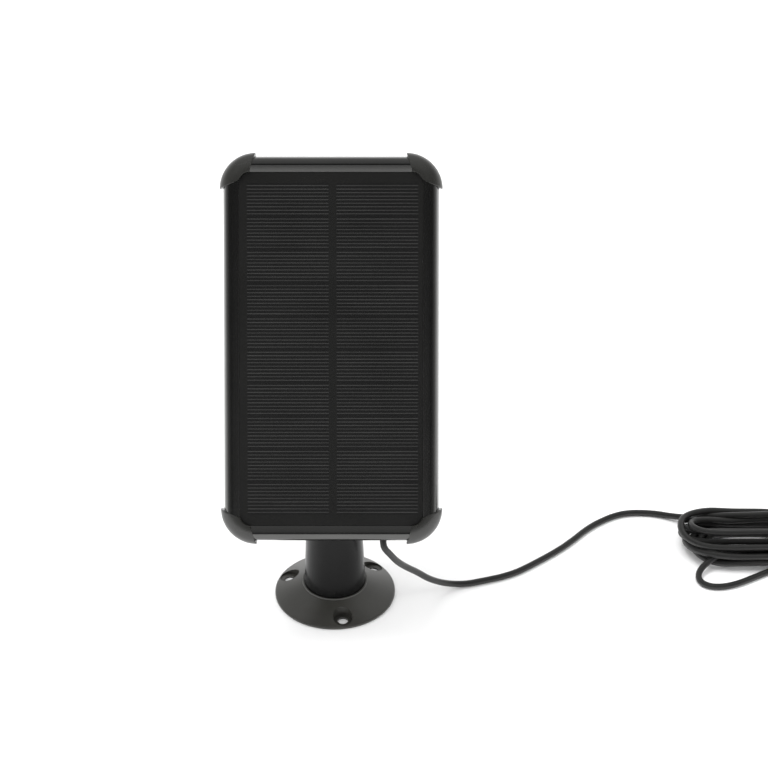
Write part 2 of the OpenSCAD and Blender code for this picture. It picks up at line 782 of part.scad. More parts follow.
module cable_hank() color(rubber) difference() {
    union() {
        bar(hank_x0, hank_y, hank_l, hank_w, hank_h);
        bar(197, 8, 48, 18, 4);
    }
    translate([tie_x, 0, 0]) rotate([90, 0, 90]) linear_extrude(tie_w) difference() {
        translate([-10, -10]) square([90, 60]);
        tie_outline(tie_t);
    }
}

module cable_tie() color([0.18, 0.18, 0.18]) translate([tie_x, 0, 0]) rotate([90, 0, 90]) {
    linear_extrude(tie_w) difference() {
        tie_outline(0);
        tie_outline(tie_t);
    }
    translate([hank_y - 3, hank_h - 0.2, 0.8]) cube([6, 2.4, 2.4]);
}

// ---------- plug ----------

// Stands children with z pointing along -X, from the boot's thin end towards the plug's mouth
module at_plug() {
    translate([boot_x, plug_y, plug_z]) rotate([0, -90, 0]) rotate(90) children();
}

module plug_boot() color(rubber) at_plug() difference() {
    rotate_extrude() polygon([[0, 0], [2.4, 0], [2.7, 0.8], [3.7, boot_l], [0, boot_l]]);
    for (i = [0 : 2]) translate([0, 0, 2.4 + 2.8 * i]) washer(2.4 + 0.3 * i, 6, 0, 1);
}

module plug_grip() color(moulded) at_plug() translate([0, 0, boot_l]) {
    linear_extrude(grip_l - 1) round_rect(grip_w, grip_h, 2);
    translate([0, 0, grip_l - 1]) linear_extrude(1) round_rect(grip_w - 1.2, grip_h - 1.2, 1.6);
}

module plug_shell() color(steel) at_plug() translate([0, 0, boot_l + grip_l]) difference() {
    linear_extrude(shell_l) polygon([
        [-3.4, 0.9], [3.4, 0.9], [3.4, 0.1], [2.6, -0.9], [-2.6, -0.9], [-3.4, 0.1]
    ]);
    translate([0, 0, 0.6]) linear_extrude(shell_l) polygon([
        [-3.15, 0.65], [3.15, 0.65], [3.15, 0.2], [2.45, -0.65], [-2.45, -0.65], [-3.15, 0.2]
    ]);
}

module plug_tongue() color([0.9, 0.9, 0.88]) at_plug() translate([-2, -0.15, boot_l + grip_l + 0.6])
    cube([4, 0.6, shell_l - 1.6]);

mount_flange();
neck();
neck_screws();
pan_friction_disc();
swivel_head();
pan_bolt();
pan_spring_washer();
tilt_bolt();
tilt_washers();
tilt_knob();
knob_insert();
panel_bracket();
bracket_screws();
rail_left();
rail_right();
rail_top();
rail_bottom();
corner_keys();
corner_cap_top_left();
corner_cap_top_right();
corner_cap_bottom_left();
corner_cap_bottom_right();
cap_screws();
solar_glass();
cells_left();
cells_right();
encapsulant();
bus_ribbons();
backsheet();
back_cover();
cover_gasket();
cover_screws();
charge_board();
board_parts();
board_screws();
panel_leads();
output_leads();
gland_housing();
housing_screws();
strain_relief();
cable_entry();
cable_drop();
cable_run();
cable_hank();
cable_tie();
cable_tail();
plug_boot();
plug_grip();
plug_shell();
plug_tongue();
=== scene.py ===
"""A solar charging panel for an outdoor camera, on its wall bracket, with its lead in a tied hank.

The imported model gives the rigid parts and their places. This script dresses them, lays the lead, and
sets up the studio. Lengths are in metres, X runs to the panel's right, -Y is the side it faces.
"""

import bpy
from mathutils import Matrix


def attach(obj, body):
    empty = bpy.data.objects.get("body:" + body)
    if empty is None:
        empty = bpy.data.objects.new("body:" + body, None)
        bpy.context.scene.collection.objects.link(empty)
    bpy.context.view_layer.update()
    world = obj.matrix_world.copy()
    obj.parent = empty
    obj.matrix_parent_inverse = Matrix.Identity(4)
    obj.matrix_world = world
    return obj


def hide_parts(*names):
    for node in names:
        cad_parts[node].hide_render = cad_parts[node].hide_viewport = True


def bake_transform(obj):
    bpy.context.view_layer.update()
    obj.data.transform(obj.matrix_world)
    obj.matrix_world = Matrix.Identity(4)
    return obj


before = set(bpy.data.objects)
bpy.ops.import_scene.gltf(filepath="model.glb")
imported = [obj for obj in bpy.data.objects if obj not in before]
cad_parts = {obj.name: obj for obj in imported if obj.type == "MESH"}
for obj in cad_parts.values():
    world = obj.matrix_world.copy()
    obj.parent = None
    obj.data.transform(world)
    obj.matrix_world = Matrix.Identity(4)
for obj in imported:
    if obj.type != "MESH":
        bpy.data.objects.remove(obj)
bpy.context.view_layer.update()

import logging
import math
from dataclasses import dataclass, field
from enum import Enum
from typing import Sequence

import bmesh
import bpy
import numpy as np
from mathutils import Vector

LOG = logging.getLogger("solar_panel")
MM = 0.001
FULL_TURN = 2 * math.pi
Colour = tuple[float, float, float]
Point = tuple[float, float, float]


class Body(str, Enum):
    """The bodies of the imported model."""

    BASE = "base"
    SWIVEL = "swivel"
    KNOB = "knob"
    PANEL = "panel"


# ---------------------------------------------------------------- node sheets


class NodeTree:
    """A node tree with short names for the nodes that the finishes and the light use."""

    def __init__(self, tree: bpy.types.NodeTree) -> None:
        """Takes the tree.

        Args:
            tree: the tree that gets the nodes.
        """
        self.tree = tree

    def node(self, kind: str, **settings: object) -> bpy.types.Node:
        """Adds a node and sets its properties.

        Args:
            kind: the node's type, without its ShaderNode prefix.
            settings: properties of the node.

        Returns:
            The new node.
        """
        made = self.tree.nodes.new("ShaderNode" + kind)
        for key, value in settings.items():
            setattr(made, key, value)
        return made

    def feed(self, socket: bpy.types.NodeSocket, value: object) -> None:
        """Links a socket to another socket, or sets its plain value.

        Args:
            socket: the socket to fill.
            value: another node's output, or a number, vector or colour.
        """
        if isinstance(value, bpy.types.NodeSocket):
            self.tree.links.new(value, socket)
        else:
            socket.default_value = value

    def sums(self, operation: str, a: object, b: object = 0.0, c: object = 0.0) -> bpy.types.NodeSocket:
        """Adds one Math node.

        Args:
            operation: its operation.
            a: first value.
            b: second value.
            c: third value.

        Returns:
            Its result.
        """
        made = self.node("Math", operation=operation)
        for socket, value in zip(made.inputs, (a, b, c)):
            self.feed(socket, value)
        return made.outputs[0]

    def remap(self, value: object, low: float, high: float, to_low: float,
              to_high: float) -> bpy.types.NodeSocket:
        """Takes a value from one range into another, clamped.

        Args:
            value: the value.
            low: the first range's start.
            high: its end.
            to_low: what the start becomes.
            to_high: what the end becomes.

        Returns:
            The new value.
        """
        made = self.node("MapRange")
        for socket, item in zip(made.inputs, (value, low, high, to_low, to_high)):
            self.feed(socket, item)
        return made.outputs[0]

    def along(self, vector: bpy.types.NodeSocket, axis: Point) -> bpy.types.NodeSocket:
        """The dot product of a vector with a fixed axis.

        Args:
            vector: the vector.
            axis: the axis.

        Returns:
            The product.
        """
        made = self.node("VectorMath", operation="DOT_PRODUCT")
        self.feed(made.inputs[0], vector)
        self.feed(made.inputs[1], axis)
        return made.outputs["Value"]


class NodeSheet(NodeTree):
    """A material with an output and a Principled shader, and the nodes that feed it."""

    def __init__(self, name: str) -> None:
        """Makes the material.

        Args:
            name: the material's name.
        """
        self.material = bpy.data.materials.new(name)
        self.material.use_nodes = True
        super().__init__(self.material.node_tree)
        self.tree.nodes.clear()
        self.shader = self.tree.nodes.new("ShaderNodeBsdfPrincipled")
        output = self.tree.nodes.new("ShaderNodeOutputMaterial")
        self.tree.links.new(self.shader.outputs[0], output.inputs[0])

    def map(self, vector: bpy.types.NodeSocket, key: str, value: Point) -> bpy.types.NodeSocket:
        """Moves, turns or scales a vector with a Mapping node.

        Args:
            vector: the vector.
            key: Location, Rotation or Scale.
            value: its amount along each axis.

        Returns:
            The new vector.
        """
        made = self.node("Mapping", vector_type="POINT")
        self.feed(made.inputs["Vector"], vector)
        self.feed(made.inputs[key], value)
        return made.outputs[0]

    def place(self, turn_x: float = 0.0, scale: Point = (1, 1, 1),
              shift: Point = (0, 0, 0)) -> bpy.types.NodeSocket:
        """Object coordinates, moved by shift, then turned about X and scaled.

        Args:
            turn_x: angle in radians by which the coordinates are turned about X.
            scale: factor along each turned axis.
            shift: what is added to the coordinates first.

        Returns:
            The coordinates.
        """
        moved = self.map(self.node("TexCoord").outputs["Object"], "Location", shift)
        return self.map(self.map(moved, "Rotation", (turn_x, 0, 0)), "Scale", scale)

    def noise(self, where: bpy.types.NodeSocket, scale: float, detail: float = 3.0) -> bpy.types.NodeSocket:
        """Smooth noise between 0 and 1.

        Args:
            where: the coordinates.
            scale: cells for each unit of the coordinates.
            detail: how many finer layers are added.

        Returns:
            The noise.
        """
        made = self.node("TexNoise")
        self.feed(made.inputs["Vector"], where)
        self.feed(made.inputs["Scale"], scale)
        self.feed(made.inputs["Detail"], detail)
        return made.outputs["Fac"]

    def blend(self, share: object, a: object, b: object) -> bpy.types.NodeSocket:
        """Mixes two colours.

        Args:
            share: how much of the second colour is taken.
            a: the first colour.
            b: the second colour.

        Returns:
            The mixed colour.
        """
        made = self.node("Mix", data_type="RGBA")
        self.feed(made.inputs["Factor"], share)
        self.feed(made.inputs["A"], (*a, 1) if isinstance(a, tuple) else a)
        self.feed(made.inputs["B"], (*b, 1) if isinstance(b, tuple) else b)
        return made.outputs["Result"]

    def scaled(self, colour: bpy.types.NodeSocket, factor: bpy.types.NodeSocket) -> bpy.types.NodeSocket:
        """A colour times a factor.

        Args:
            colour: the colour.
            factor: the factor.

        Returns:
            The product.
        """
        made = self.node("VectorMath", operation="SCALE")
        self.feed(made.inputs[0], colour)
        self.feed(made.inputs["Scale"], factor)
        return made.outputs[0]

    def bump(self, height: bpy.types.NodeSocket, depth: float, below: object = None) -> bpy.types.NodeSocket:
        """Turns a height between 0 and 1 into a normal.

        Args:
            height: the height.
            depth: depth of the relief in metres.
            below: the normal that the relief is added to.

        Returns:
            The normal.
        """
        made = self.node("Bump")
        self.feed(made.inputs["Strength"], 1.0)
        self.feed(made.inputs["Distance"], depth)
        self.feed(made.inputs["Height"], height)
        if below is not None:
            self.feed(made.inputs["Normal"], below)
        return made.outputs[0]

    def set(self, **values: object) -> None:
        """Sets or links sockets of the shader.

        Args:
            values: the sockets' values, by their names in lower case and underscores.
        """
        names = {socket.name.lower().replace(" ", "_"): socket for socket in self.shader.inputs}
        for key, value in values.items():
            value = (*value, 1) if isinstance(value, tuple) and len(value) == 3 and "color" in key else value
            self.feed(names[key], value)


# ---------------------------------------------------------------- finishes


@dataclass(frozen=True)
class Grained:
    """A painted or moulded surface with fine grain, cloudy colour and a roughness that follows both.

    Attributes:
        name: the material's name.
        colour: its middle colour.
        roughness: its middle roughness.
        grain: size of the grain in metres.
        depth: height of the grain in metres.
        variation: how far the colour strays, as a share of itself.
        specular: strength of the plain reflection.
        metallic: 0 for paint and plastic, 1 for bare metal.
    """

    name: str
    colour: Colour
    roughness: float = 0.45
    grain: float = 0.5 * MM
    depth: float = 0.02 * MM
    variation: float = 0.18
    specular: float = 0.5
    metallic: float = 0.0

    def dress(self) -> bpy.types.Material:
        """Makes the material.

        Returns:
            The new material.
        """
        sheet = NodeSheet(self.name)
        where = sheet.place()
        clouds = sheet.noise(where, 60.0, 4.0)
        grain = sheet.noise(where, 1.0 / self.grain, 2.0)
        dark = tuple(c * (1 - self.variation) for c in self.colour)
        light = tuple(c * (1 + self.variation) for c in self.colour)
        tone = sheet.blend(sheet.remap(clouds, 0.35, 0.65, 0, 1), dark, light)
        specks = sheet.remap(grain, 0.3, 0.7, 0.9, 1.1)
        sheet.set(
            base_color=sheet.scaled(tone, specks),
            roughness=sheet.remap(clouds, 0.3, 0.7, self.roughness * 0.9, self.roughness * 1.12),
            normal=sheet.bump(grain, self.depth),
            specular_ior_level=self.specular,
            metallic=self.metallic,
        )
        return sheet.material


@dataclass(frozen=True)
class Drawn:
    """Black anodised aluminium with draw lines along U, the length of the piece's own UV map.

    Attributes:
        name: the material's name.
        colour: colour of the metal under its dye.
        roughness: its roughness.
        stretch: how far the draw lines spread a highlight across themselves.
        line: spacing of the draw lines in metres.
    """

    name: str
    colour: Colour
    roughness: float = 0.22
    stretch: float = 0.3
    line: float = 0.25 * MM

    def dress(self) -> bpy.types.Material:
        """Makes the material.

        Returns:
            The new material.
        """
        sheet = NodeSheet(self.name)
        source = sheet.node("TexCoord").outputs["UV"]
        lines = sheet.noise(sheet.map(source, "Scale", (6.0, 1.0 / self.line, 1.0)), 1.0, 2.0)
        clouds = sheet.noise(sheet.place(), 45.0, 3.0)
        dark = tuple(c * 0.8 for c in self.colour)
        light = tuple(c * 1.25 for c in self.colour)
        tangent = sheet.node("Tangent", direction_type="UV_MAP", uv_map="UVMap")
        tone = sheet.sums("MULTIPLY_ADD", lines, 0.6, sheet.sums("MULTIPLY", clouds, 0.4))
        sheet.set(
            base_color=sheet.blend(tone, dark, light),
            roughness=sheet.remap(lines, 0.3, 0.7, self.roughness * 0.92, self.roughness * 1.1),
            normal=sheet.bump(lines, 0.004 * MM),
            metallic=1.0,
            anisotropic=self.stretch,
            tangent=tangent.outputs[0],
        )
        return sheet.material


@dataclass(frozen=True)
class PanelFace:
    """An etched front sheet over two columns of dark cells, with the cells' fine silver finger lines.

    The pattern is worked out from the place across the panel, u, and up the panel, v.

    Attributes:
        name: the material's name.
        pivot_z: height of the tilt axis.
        lean: the panel's lean in radians.
        mid_v: height of the panel's middle, up the panel from the tilt axis.
        sheet: colour of the margins.
        cell: colour of the cells.
        finger: colour of the finger lines.
        shift: place of the gap's middle across the panel.
        half_gap: half the gap between the columns.
        half_w: distance from the gap's middle to a column's outer edge.
        half_h: half the height of the cells.
        pitch: height of one strip of cells.
        line_pitch: spacing of the finger lines.
        line_w: width of a finger line.
        lines: finger lines on a strip.
    """

    name: str
    pivot_z: float
    lean: float
    mid_v: float
    sheet: Colour = (0.0062, 0.0062, 0.0058)
    cell: Colour = (0.0045, 0.0045, 0.0045)
    finger: Colour = (0.032, 0.032, 0.031)
    shift: float = 0.8 * MM
    half_gap: float = 2.0 * MM
    half_w: float = 42.7 * MM
    half_h: float = 83.0 * MM
    pitch: float = 16.6 * MM
    line_pitch: float = 1.75 * MM
    line_w: float = 0.42 * MM
    lines: int = 9

    def band(self, sheet: NodeSheet, value: object, low: float, high: float,
             soft: float) -> bpy.types.NodeSocket:
        """1 where a value lies in a band and 0 outside it.

        Args:
            sheet: the material's nodes.
            value: the value.
            low: the band's start.
            high: the band's end.
            soft: half the width of the edges' ramps.

        Returns:
            The share.
        """
        rise = sheet.remap(value, low - soft, low + soft, 0, 1)
        fall = sheet.remap(value, high - soft, high + soft, 1, 0)
        return sheet.sums("MULTIPLY", rise, fall)

    def dress(self) -> bpy.types.Material:
        """Makes the material.

        Returns:
            The new material.
        """
        sheet = NodeSheet(self.name)
        flat = sheet.place(turn_x=-(math.pi / 2 - self.lean), shift=(0, 0, -self.pivot_z))
        parts = sheet.node("SeparateXYZ")
        sheet.feed(parts.inputs[0], flat)
        across = sheet.sums("ABSOLUTE", sheet.sums("SUBTRACT", parts.outputs[0], self.shift))
        up = sheet.sums("SUBTRACT", parts.outputs[1], self.mid_v - self.half_h)
        soft = 0.12 * MM
        in_column = self.band(sheet, across, self.half_gap, self.half_w, soft)
        in_rows = self.band(sheet, up, 0.0, 2 * self.half_h, soft)
        cells = sheet.sums("MULTIPLY", in_column, in_rows)
        in_strip = sheet.sums("WRAP", up, self.pitch, 0.0)
        first = (self.pitch - (self.lines - 1) * self.line_pitch) / 2
        half_line = self.line_pitch / 2
        step = sheet.sums("WRAP", sheet.sums("SUBTRACT", in_strip, first - half_line), self.line_pitch, 0.0)
        on_line = self.band(
            sheet, step, (self.line_pitch - self.line_w) / 2, (self.line_pitch + self.line_w) / 2, 0.08 * MM
        )
        inside = self.band(sheet, in_strip, first - half_line, self.pitch - first + half_line, soft)
        finger = sheet.sums("MULTIPLY", sheet.sums("MULTIPLY", on_line, inside), cells)
        clouds = sheet.noise(sheet.place(), 30.0, 3.0)
        uneven = sheet.remap(sheet.noise(sheet.place(scale=(20, 1500, 1500)), 1.0, 1.0), 0.3, 0.7, 0.55, 1.0)
        ground = sheet.blend(cells, self.sheet, self.cell)
        colour = sheet.blend(sheet.sums("MULTIPLY", finger, uneven), ground, self.finger)
        shade = sheet.scaled(colour, sheet.remap(clouds, 0.3, 0.7, 0.94, 1.06))
        etch = sheet.noise(sheet.place(), 1400.0, 2.0)
        raised = sheet.bump(finger, 0.012 * MM)
        sheet.set(
            base_color=shade,
            roughness=sheet.remap(clouds, 0.3, 0.7, 0.42, 0.5),
            normal=sheet.bump(etch, 0.006 * MM, raised),
            specular_ior_level=0.35,
        )
        return sheet.material


@dataclass(frozen=True)
class Jacket:
    """A cable's jacket, with an uneven skin, a little dust and a slight gloss.

    Attributes:
        name: the material's name.
        colour: colour of the jacket.
        roughness: its roughness.
    """

    name: str
    colour: Colour
    roughness: float = 0.42

    def dress(self) -> bpy.types.Material:
        """Makes the material.

        Returns:
            The new material.
        """
        sheet = NodeSheet(self.name)
        where = sheet.place()
        clouds = sheet.noise(where, 90.0, 3.0)
        skin = sheet.noise(where, 1800.0, 2.0)
        dust = sheet.remap(sheet.noise(where, 350.0, 4.0), 0.55, 0.8, 0, 0.35)
        dark = tuple(c * 0.85 for c in self.colour)
        light = tuple(c * 1.2 for c in self.colour)
        dusty = tuple(c * 1.9 for c in self.colour)
        sheet.set(
            base_color=sheet.blend(dust, sheet.blend(clouds, dark, light), dusty),
            roughness=sheet.remap(clouds, 0.3, 0.7, self.roughness * 0.88, self.roughness * 1.15),
            normal=sheet.bump(skin, 0.008 * MM),
            specular_ior_level=0.5,
        )
        return sheet.material


# ---------------------------------------------------------------- surfaces


def sharpen(piece: bpy.types.Object, degrees: float = 32.0) -> None:
    """Shades a mesh smooth, apart from its sharp edges.

    Args:
        piece: the piece.
        degrees: the angle from which an edge is sharp.
    """
    mesh = piece.data
    mesh.polygons.foreach_set("use_smooth", np.ones(len(mesh.polygons), bool))
    mesh.set_sharp_from_angle(angle=math.radians(degrees))
    mesh.update()


def link(name: str, mesh: bpy.types.Mesh, material: bpy.types.Material) -> bpy.types.Object:
    """Puts a mesh in the scene with its material, its faces turned outwards.

    Args:
        name: the piece's name.
        mesh: its mesh, with each point in its place.
        material: its material.

    Returns:
        The piece, at the origin.
    """
    built = bmesh.new()
    built.from_mesh(mesh)
    bmesh.ops.remove_doubles(built, verts=built.verts, dist=1e-7)
    bmesh.ops.recalc_face_normals(built, faces=built.faces)
    built.to_mesh(mesh)
    built.free()
    mesh.materials.append(material)
    piece = bpy.data.objects.new(name, mesh)
    bpy.context.scene.collection.objects.link(piece)
    return piece


def patch(points: np.ndarray, lengths: tuple[float, float], loop_v: bool = True,
          ends: bool = True) -> bpy.types.Mesh:
    """A mesh over a grid of points: U is the first index, V the second.

    Args:
        points: array of n_u by n_v points.
        lengths: size of the grid along U and V in metres, for the UV map.
        loop_v: whether the last point of each row joins the first.
        ends: whether the first and last rows are closed with a face each.

    Returns:
        The mesh, with a UV map in metres.
    """
    rows, columns = points.shape[:2]
    spans = columns if loop_v else columns - 1
    i, j = np.meshgrid(np.arange(rows - 1), np.arange(spans), indexing="ij")
    after = (j + 1) % columns
    this, following = i * columns, (i + 1) * columns
    quads = np.stack([this + j, following + j, following + after, this + after], -1)
    faces = quads.reshape(-1, 4).tolist()
    if ends and loop_v:
        faces += [list(range(columns)), list(range(rows * columns - 1, (rows - 1) * columns - 1, -1))]
    mesh = bpy.data.meshes.new("patch")
    mesh.from_pydata(points.reshape(-1, 3).tolist(), [], faces)
    corner_u = np.stack([i, i + 1, i + 1, i], -1).reshape(-1) / (rows - 1) * lengths[0]
    corner_v = np.stack([j, j, j + 1, j + 1], -1).reshape(-1) / spans * lengths[1]
    uv = np.zeros((len(mesh.loops), 2))
    uv[: len(corner_u)] = np.stack([corner_u, corner_v], -1)
    mesh.uv_layers.new(name="UVMap").data.foreach_set("uv", uv.reshape(-1))
    return mesh


def arc(centre: tuple[float, float], radius: float, start: float, stop: float, steps: int = 8) -> np.ndarray:
    """Points on a circle's arc: the centre plus the radius times the cosine and sine of each angle.

    Args:
        centre: the circle's centre.
        radius: its radius.
        start: first angle in degrees.
        stop: last angle in degrees.
        steps: spans between the first point and the last.

    Returns:
        Array of steps + 1 points in the plane.
    """
    t = np.radians(np.linspace(start, stop, steps + 1))
    return np.stack([centre[0] + radius * np.cos(t), centre[1] + radius * np.sin(t)], -1)


def smooth_line(points: np.ndarray, spacing: float) -> np.ndarray:
    """A smooth curve through points at an even spacing.

    Each span is the cubic whose slope at a point is half the step from the point before to the one after.

    Args:
        points: array of n by 3 points.
        spacing: distance between the new points.

    Returns:
        Array of points along the curve.
    """
    p = np.vstack([2 * points[0] - points[1], points, 2 * points[-1] - points[-2]])
    t = np.linspace(0, 1, 24, endpoint=False)[None, :, None]
    a, b, c, d = (p[k : len(p) - 3 + k][:, None] for k in range(4))
    curve = 0.5 * (2 * b + (c - a) * t + (2 * a - 5 * b + 4 * c - d) * t**2 + (3 * b - a - 3 * c + d) * t**3)
    curve = np.vstack([curve.reshape(-1, 3), points[-1]])
    walked = np.concatenate([[0], np.cumsum(np.linalg.norm(np.diff(curve, axis=0), axis=1))])
    even = np.linspace(0, walked[-1], max(2, round(walked[-1] / spacing)) + 1)
    return np.stack([np.interp(even, walked, curve[:, k]) for k in range(3)], -1)


def tube_rings(line: np.ndarray, radius: float, sides: int = 12) -> np.ndarray:
    """Rings of points round a line, each square to it.

    A ring starts from the level direction beside the line. The angle by which that direction has turned about
    the line since the last ring is summed and taken back, so the tube doesn't twist.

    Args:
        line: array of n by 3 points.
        radius: the tube's radius.
        sides: points on each ring.

    Returns:
        Array of n by sides by 3 points.
    """
    along = np.gradient(line, axis=0)
    along /= np.linalg.norm(along, axis=1, keepdims=True)
    side = np.cross(along, (0, 0, 1.0))
    side /= np.linalg.norm(side, axis=1, keepdims=True)
    other = np.cross(side, along)
    back = np.arctan2((other[1:] * side[:-1]).sum(1), (side[1:] * side[:-1]).sum(1))
    phase = np.concatenate([[0], np.cumsum(back)])[:, None]
    t = (np.linspace(0, FULL_TURN, sides, endpoint=False)[None] + phase)[..., None]
    return line[:, None] + radius * (np.cos(t) * side[:, None] + np.sin(t) * other[:, None])


def hollow(piece: bpy.types.Object, cutter: bpy.types.Object) -> None:
    """Takes a shape out of a piece for good.

    Args:
        piece: the piece.
        cutter: the shape, which is removed afterwards.
    """
    cut = piece.modifiers.new("cut", "BOOLEAN")
    cut.operation, cut.object, cut.solver = "DIFFERENCE", cutter, "EXACT"
    graph = bpy.context.evaluated_depsgraph_get()
    mesh = bpy.data.meshes.new_from_object(piece.evaluated_get(graph))
    piece.modifiers.clear()
    piece.data = mesh
    bpy.data.objects.remove(cutter)


# ---------------------------------------------------------------- finishes of the parts


class Finish(Enum):
    """The finishes, by the names of the record's material slots; the neck's has no slot of its own: it is a
    darker copy of the cast paint, with weaker reflection, which paints in the shade on the neck.
    """

    CAST = "cast_metal"
    NECK = "cast_metal_smooth"
    RAILS = "anodised_rails"
    CAPS = "moulded_caps"
    MOULDED = "moulded_plastic"
    RUBBER = "rubber"
    JACKET = "cable_jacket"
    FACE = "panel_face"
    SILICON = "cell_silicon"
    LAMINATE = "laminate"
    STEEL = "steel"
    BLACK_STEEL = "black_steel"
    BRASS = "brass"
    BOARD = "circuit_board"
    ELECTRONICS = "electronics"
    LEAD_RED = "lead_red"
    LOW_FRICTION = "low_friction"


RECIPES = {
    Finish.CAST: Grained("cast_paint", (0.028, 0.0275, 0.024), 0.34, 0.45 * MM, 0.030 * MM, 0.10, 0.85),
    # The neck is the same cast paint as the flange; this much darker colour is painted shade on the neck.
    Finish.NECK: Grained("neck_paint", (0.003, 0.003, 0.003), 0.22, 0.35 * MM, 0.012 * MM, 0.08, 0.18),
    Finish.RAILS: Drawn("anodised", (0.10, 0.10, 0.098)),
    Finish.CAPS: Grained("cap_plastic", (0.016, 0.016, 0.0145), 0.27, 0.22 * MM, 0.008 * MM, 0.08, 0.6),
    Finish.MOULDED: Grained(
        "moulded_plastic", (0.016, 0.016, 0.0155), 0.45, 0.3 * MM, 0.022 * MM, 0.12, 0.45
    ),
    Finish.RUBBER: Grained("rubber", (0.022, 0.022, 0.021), 0.62, 0.20 * MM, 0.010 * MM, 0.15, 0.35),
    Finish.JACKET: Jacket("cable_jacket", (0.012, 0.012, 0.0115)),
    Finish.SILICON: Grained("silicon", (0.012, 0.016, 0.030), 0.25, 2.0 * MM, 0.001 * MM, 0.15, 0.6),
    Finish.LAMINATE: Grained("laminate", (0.55, 0.55, 0.52), 0.4, 0.6 * MM, 0.004 * MM, 0.05, 0.4),
    Finish.STEEL: Grained("steel", (0.42, 0.41, 0.40), 0.32, 0.15 * MM, 0.004 * MM, 0.12, 0.5, 1.0),
    Finish.BLACK_STEEL: Grained("black_steel", (0.05, 0.05, 0.05), 0.35, 0.2 * MM, 0.006 * MM, 0.2, 0.5, 1.0),
    Finish.BRASS: Grained("brass", (0.60, 0.42, 0.16), 0.30, 0.3 * MM, 0.004 * MM, 0.12, 0.5, 1.0),
    Finish.BOARD: Grained("solder_mask", (0.010, 0.075, 0.030), 0.35, 0.5 * MM, 0.004 * MM, 0.15, 0.5),
    Finish.ELECTRONICS: Grained("component_bodies", (0.02, 0.02, 0.022), 0.4, 0.3 * MM, 0.006 * MM, 0.2, 0.5),
    Finish.LEAD_RED: Grained("red_wire", (0.35, 0.020, 0.015), 0.4, 0.4 * MM, 0.004 * MM, 0.1, 0.5),
    Finish.LOW_FRICTION: Grained("slip_washer", (0.62, 0.61, 0.57), 0.38, 0.4 * MM, 0.004 * MM, 0.06, 0.4),
}


@dataclass
class Paints:
    """Makes each finish once and hands it out.

    Attributes:
        recipes: what makes each finish.
        made: the finishes made so far.
    """

    recipes: dict = field(default_factory=lambda: dict(RECIPES))
    made: dict = field(default_factory=dict)

    def get(self, finish: Finish) -> bpy.types.Material:
        """The material of a finish.

        Args:
            finish: the finish.

        Returns:
            Its material.
        """
        if finish not in self.made:
            self.made[finish] = self.recipes[finish].dress()
        return self.made[finish]


@dataclass
class PanelPlane:
    """The tilted frame of the panel: x across, y up the panel from the tilt axis, z out of its front.

    Attributes:
        pivot_z: height of the tilt axis.
        lean: the panel's lean from upright, in radians.
        gap: distance from the tilt axis to the panel's back.
        mid_y: height of the panel's middle, up the panel from the tilt axis.
        width: the panel's width over its caps.
        height: the panel's height over its caps.
        thick: the rails' thickness.
        proud: how far the caps stand outside the rails.
        cap_r: the caps' corner radius.
        rail_face: width of a rail seen from the front.
    """

    pivot_z: float = 79.5 * MM
    lean: float = math.radians(30)
    gap: float = 20 * MM
    mid_y: float = 64.5 * MM
    width: float = 112 * MM
    height: float = 197 * MM
    thick: float = 17 * MM
    proud: float = 1.8 * MM
    cap_r: float = 18.2 * MM
    rail_face: float = 8.2 * MM

    def to_world(self, points: np.ndarray) -> np.ndarray:
        """Turns points about X by the lean and lifts them to the tilt axis.

        Y becomes y sin(lean) - z cos(lean), and Z becomes y cos(lean) + z sin(lean) + the axis's height.

        Args:
            points: array whose last index is x, y, z in the panel's frame.

        Returns:
            The points in the row frame.
        """
        x, y, z = points[..., 0], points[..., 1], points[..., 2]
        sine, cosine = math.sin(self.lean), math.cos(self.lean)
        return np.stack([x, y * sine - z * cosine, y * cosine + z * sine + self.pivot_z], -1)


@dataclass
class Assembly:
    """What the sub-assemblies share.

    Attributes:
        paints: the finishes.
        plane: the panel's frame.
    """

    paints: Paints
    plane: PanelPlane

    def dress(self, finish: Finish, *nodes: str) -> None:
        """Gives CAD nodes a finish and leaves their shape as it is.

        Args:
            finish: the finish.
            nodes: the nodes' names.
        """
        for name in nodes:
            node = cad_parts[name]
            for slot in node.material_slots:
                slot.material = self.paints.get(finish)
            LOG.info("%s: CAD shape, %s", name, finish.value)

    def place(self, piece: bpy.types.Object, finish: Finish, body: Body, *nodes: str) -> None:
        """Puts a new piece on its body, in the place of CAD nodes.

        Args:
            piece: the piece.
            finish: the finish, whose name is the slot; it only goes into the log.
            body: the body that the piece rides on.
            nodes: the CAD nodes that it stands for.
        """
        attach(piece, body.value)
        if nodes:
            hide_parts(*nodes)
        LOG.info("%s: %d faces, %s", piece.name, len(piece.data.polygons), finish.value)


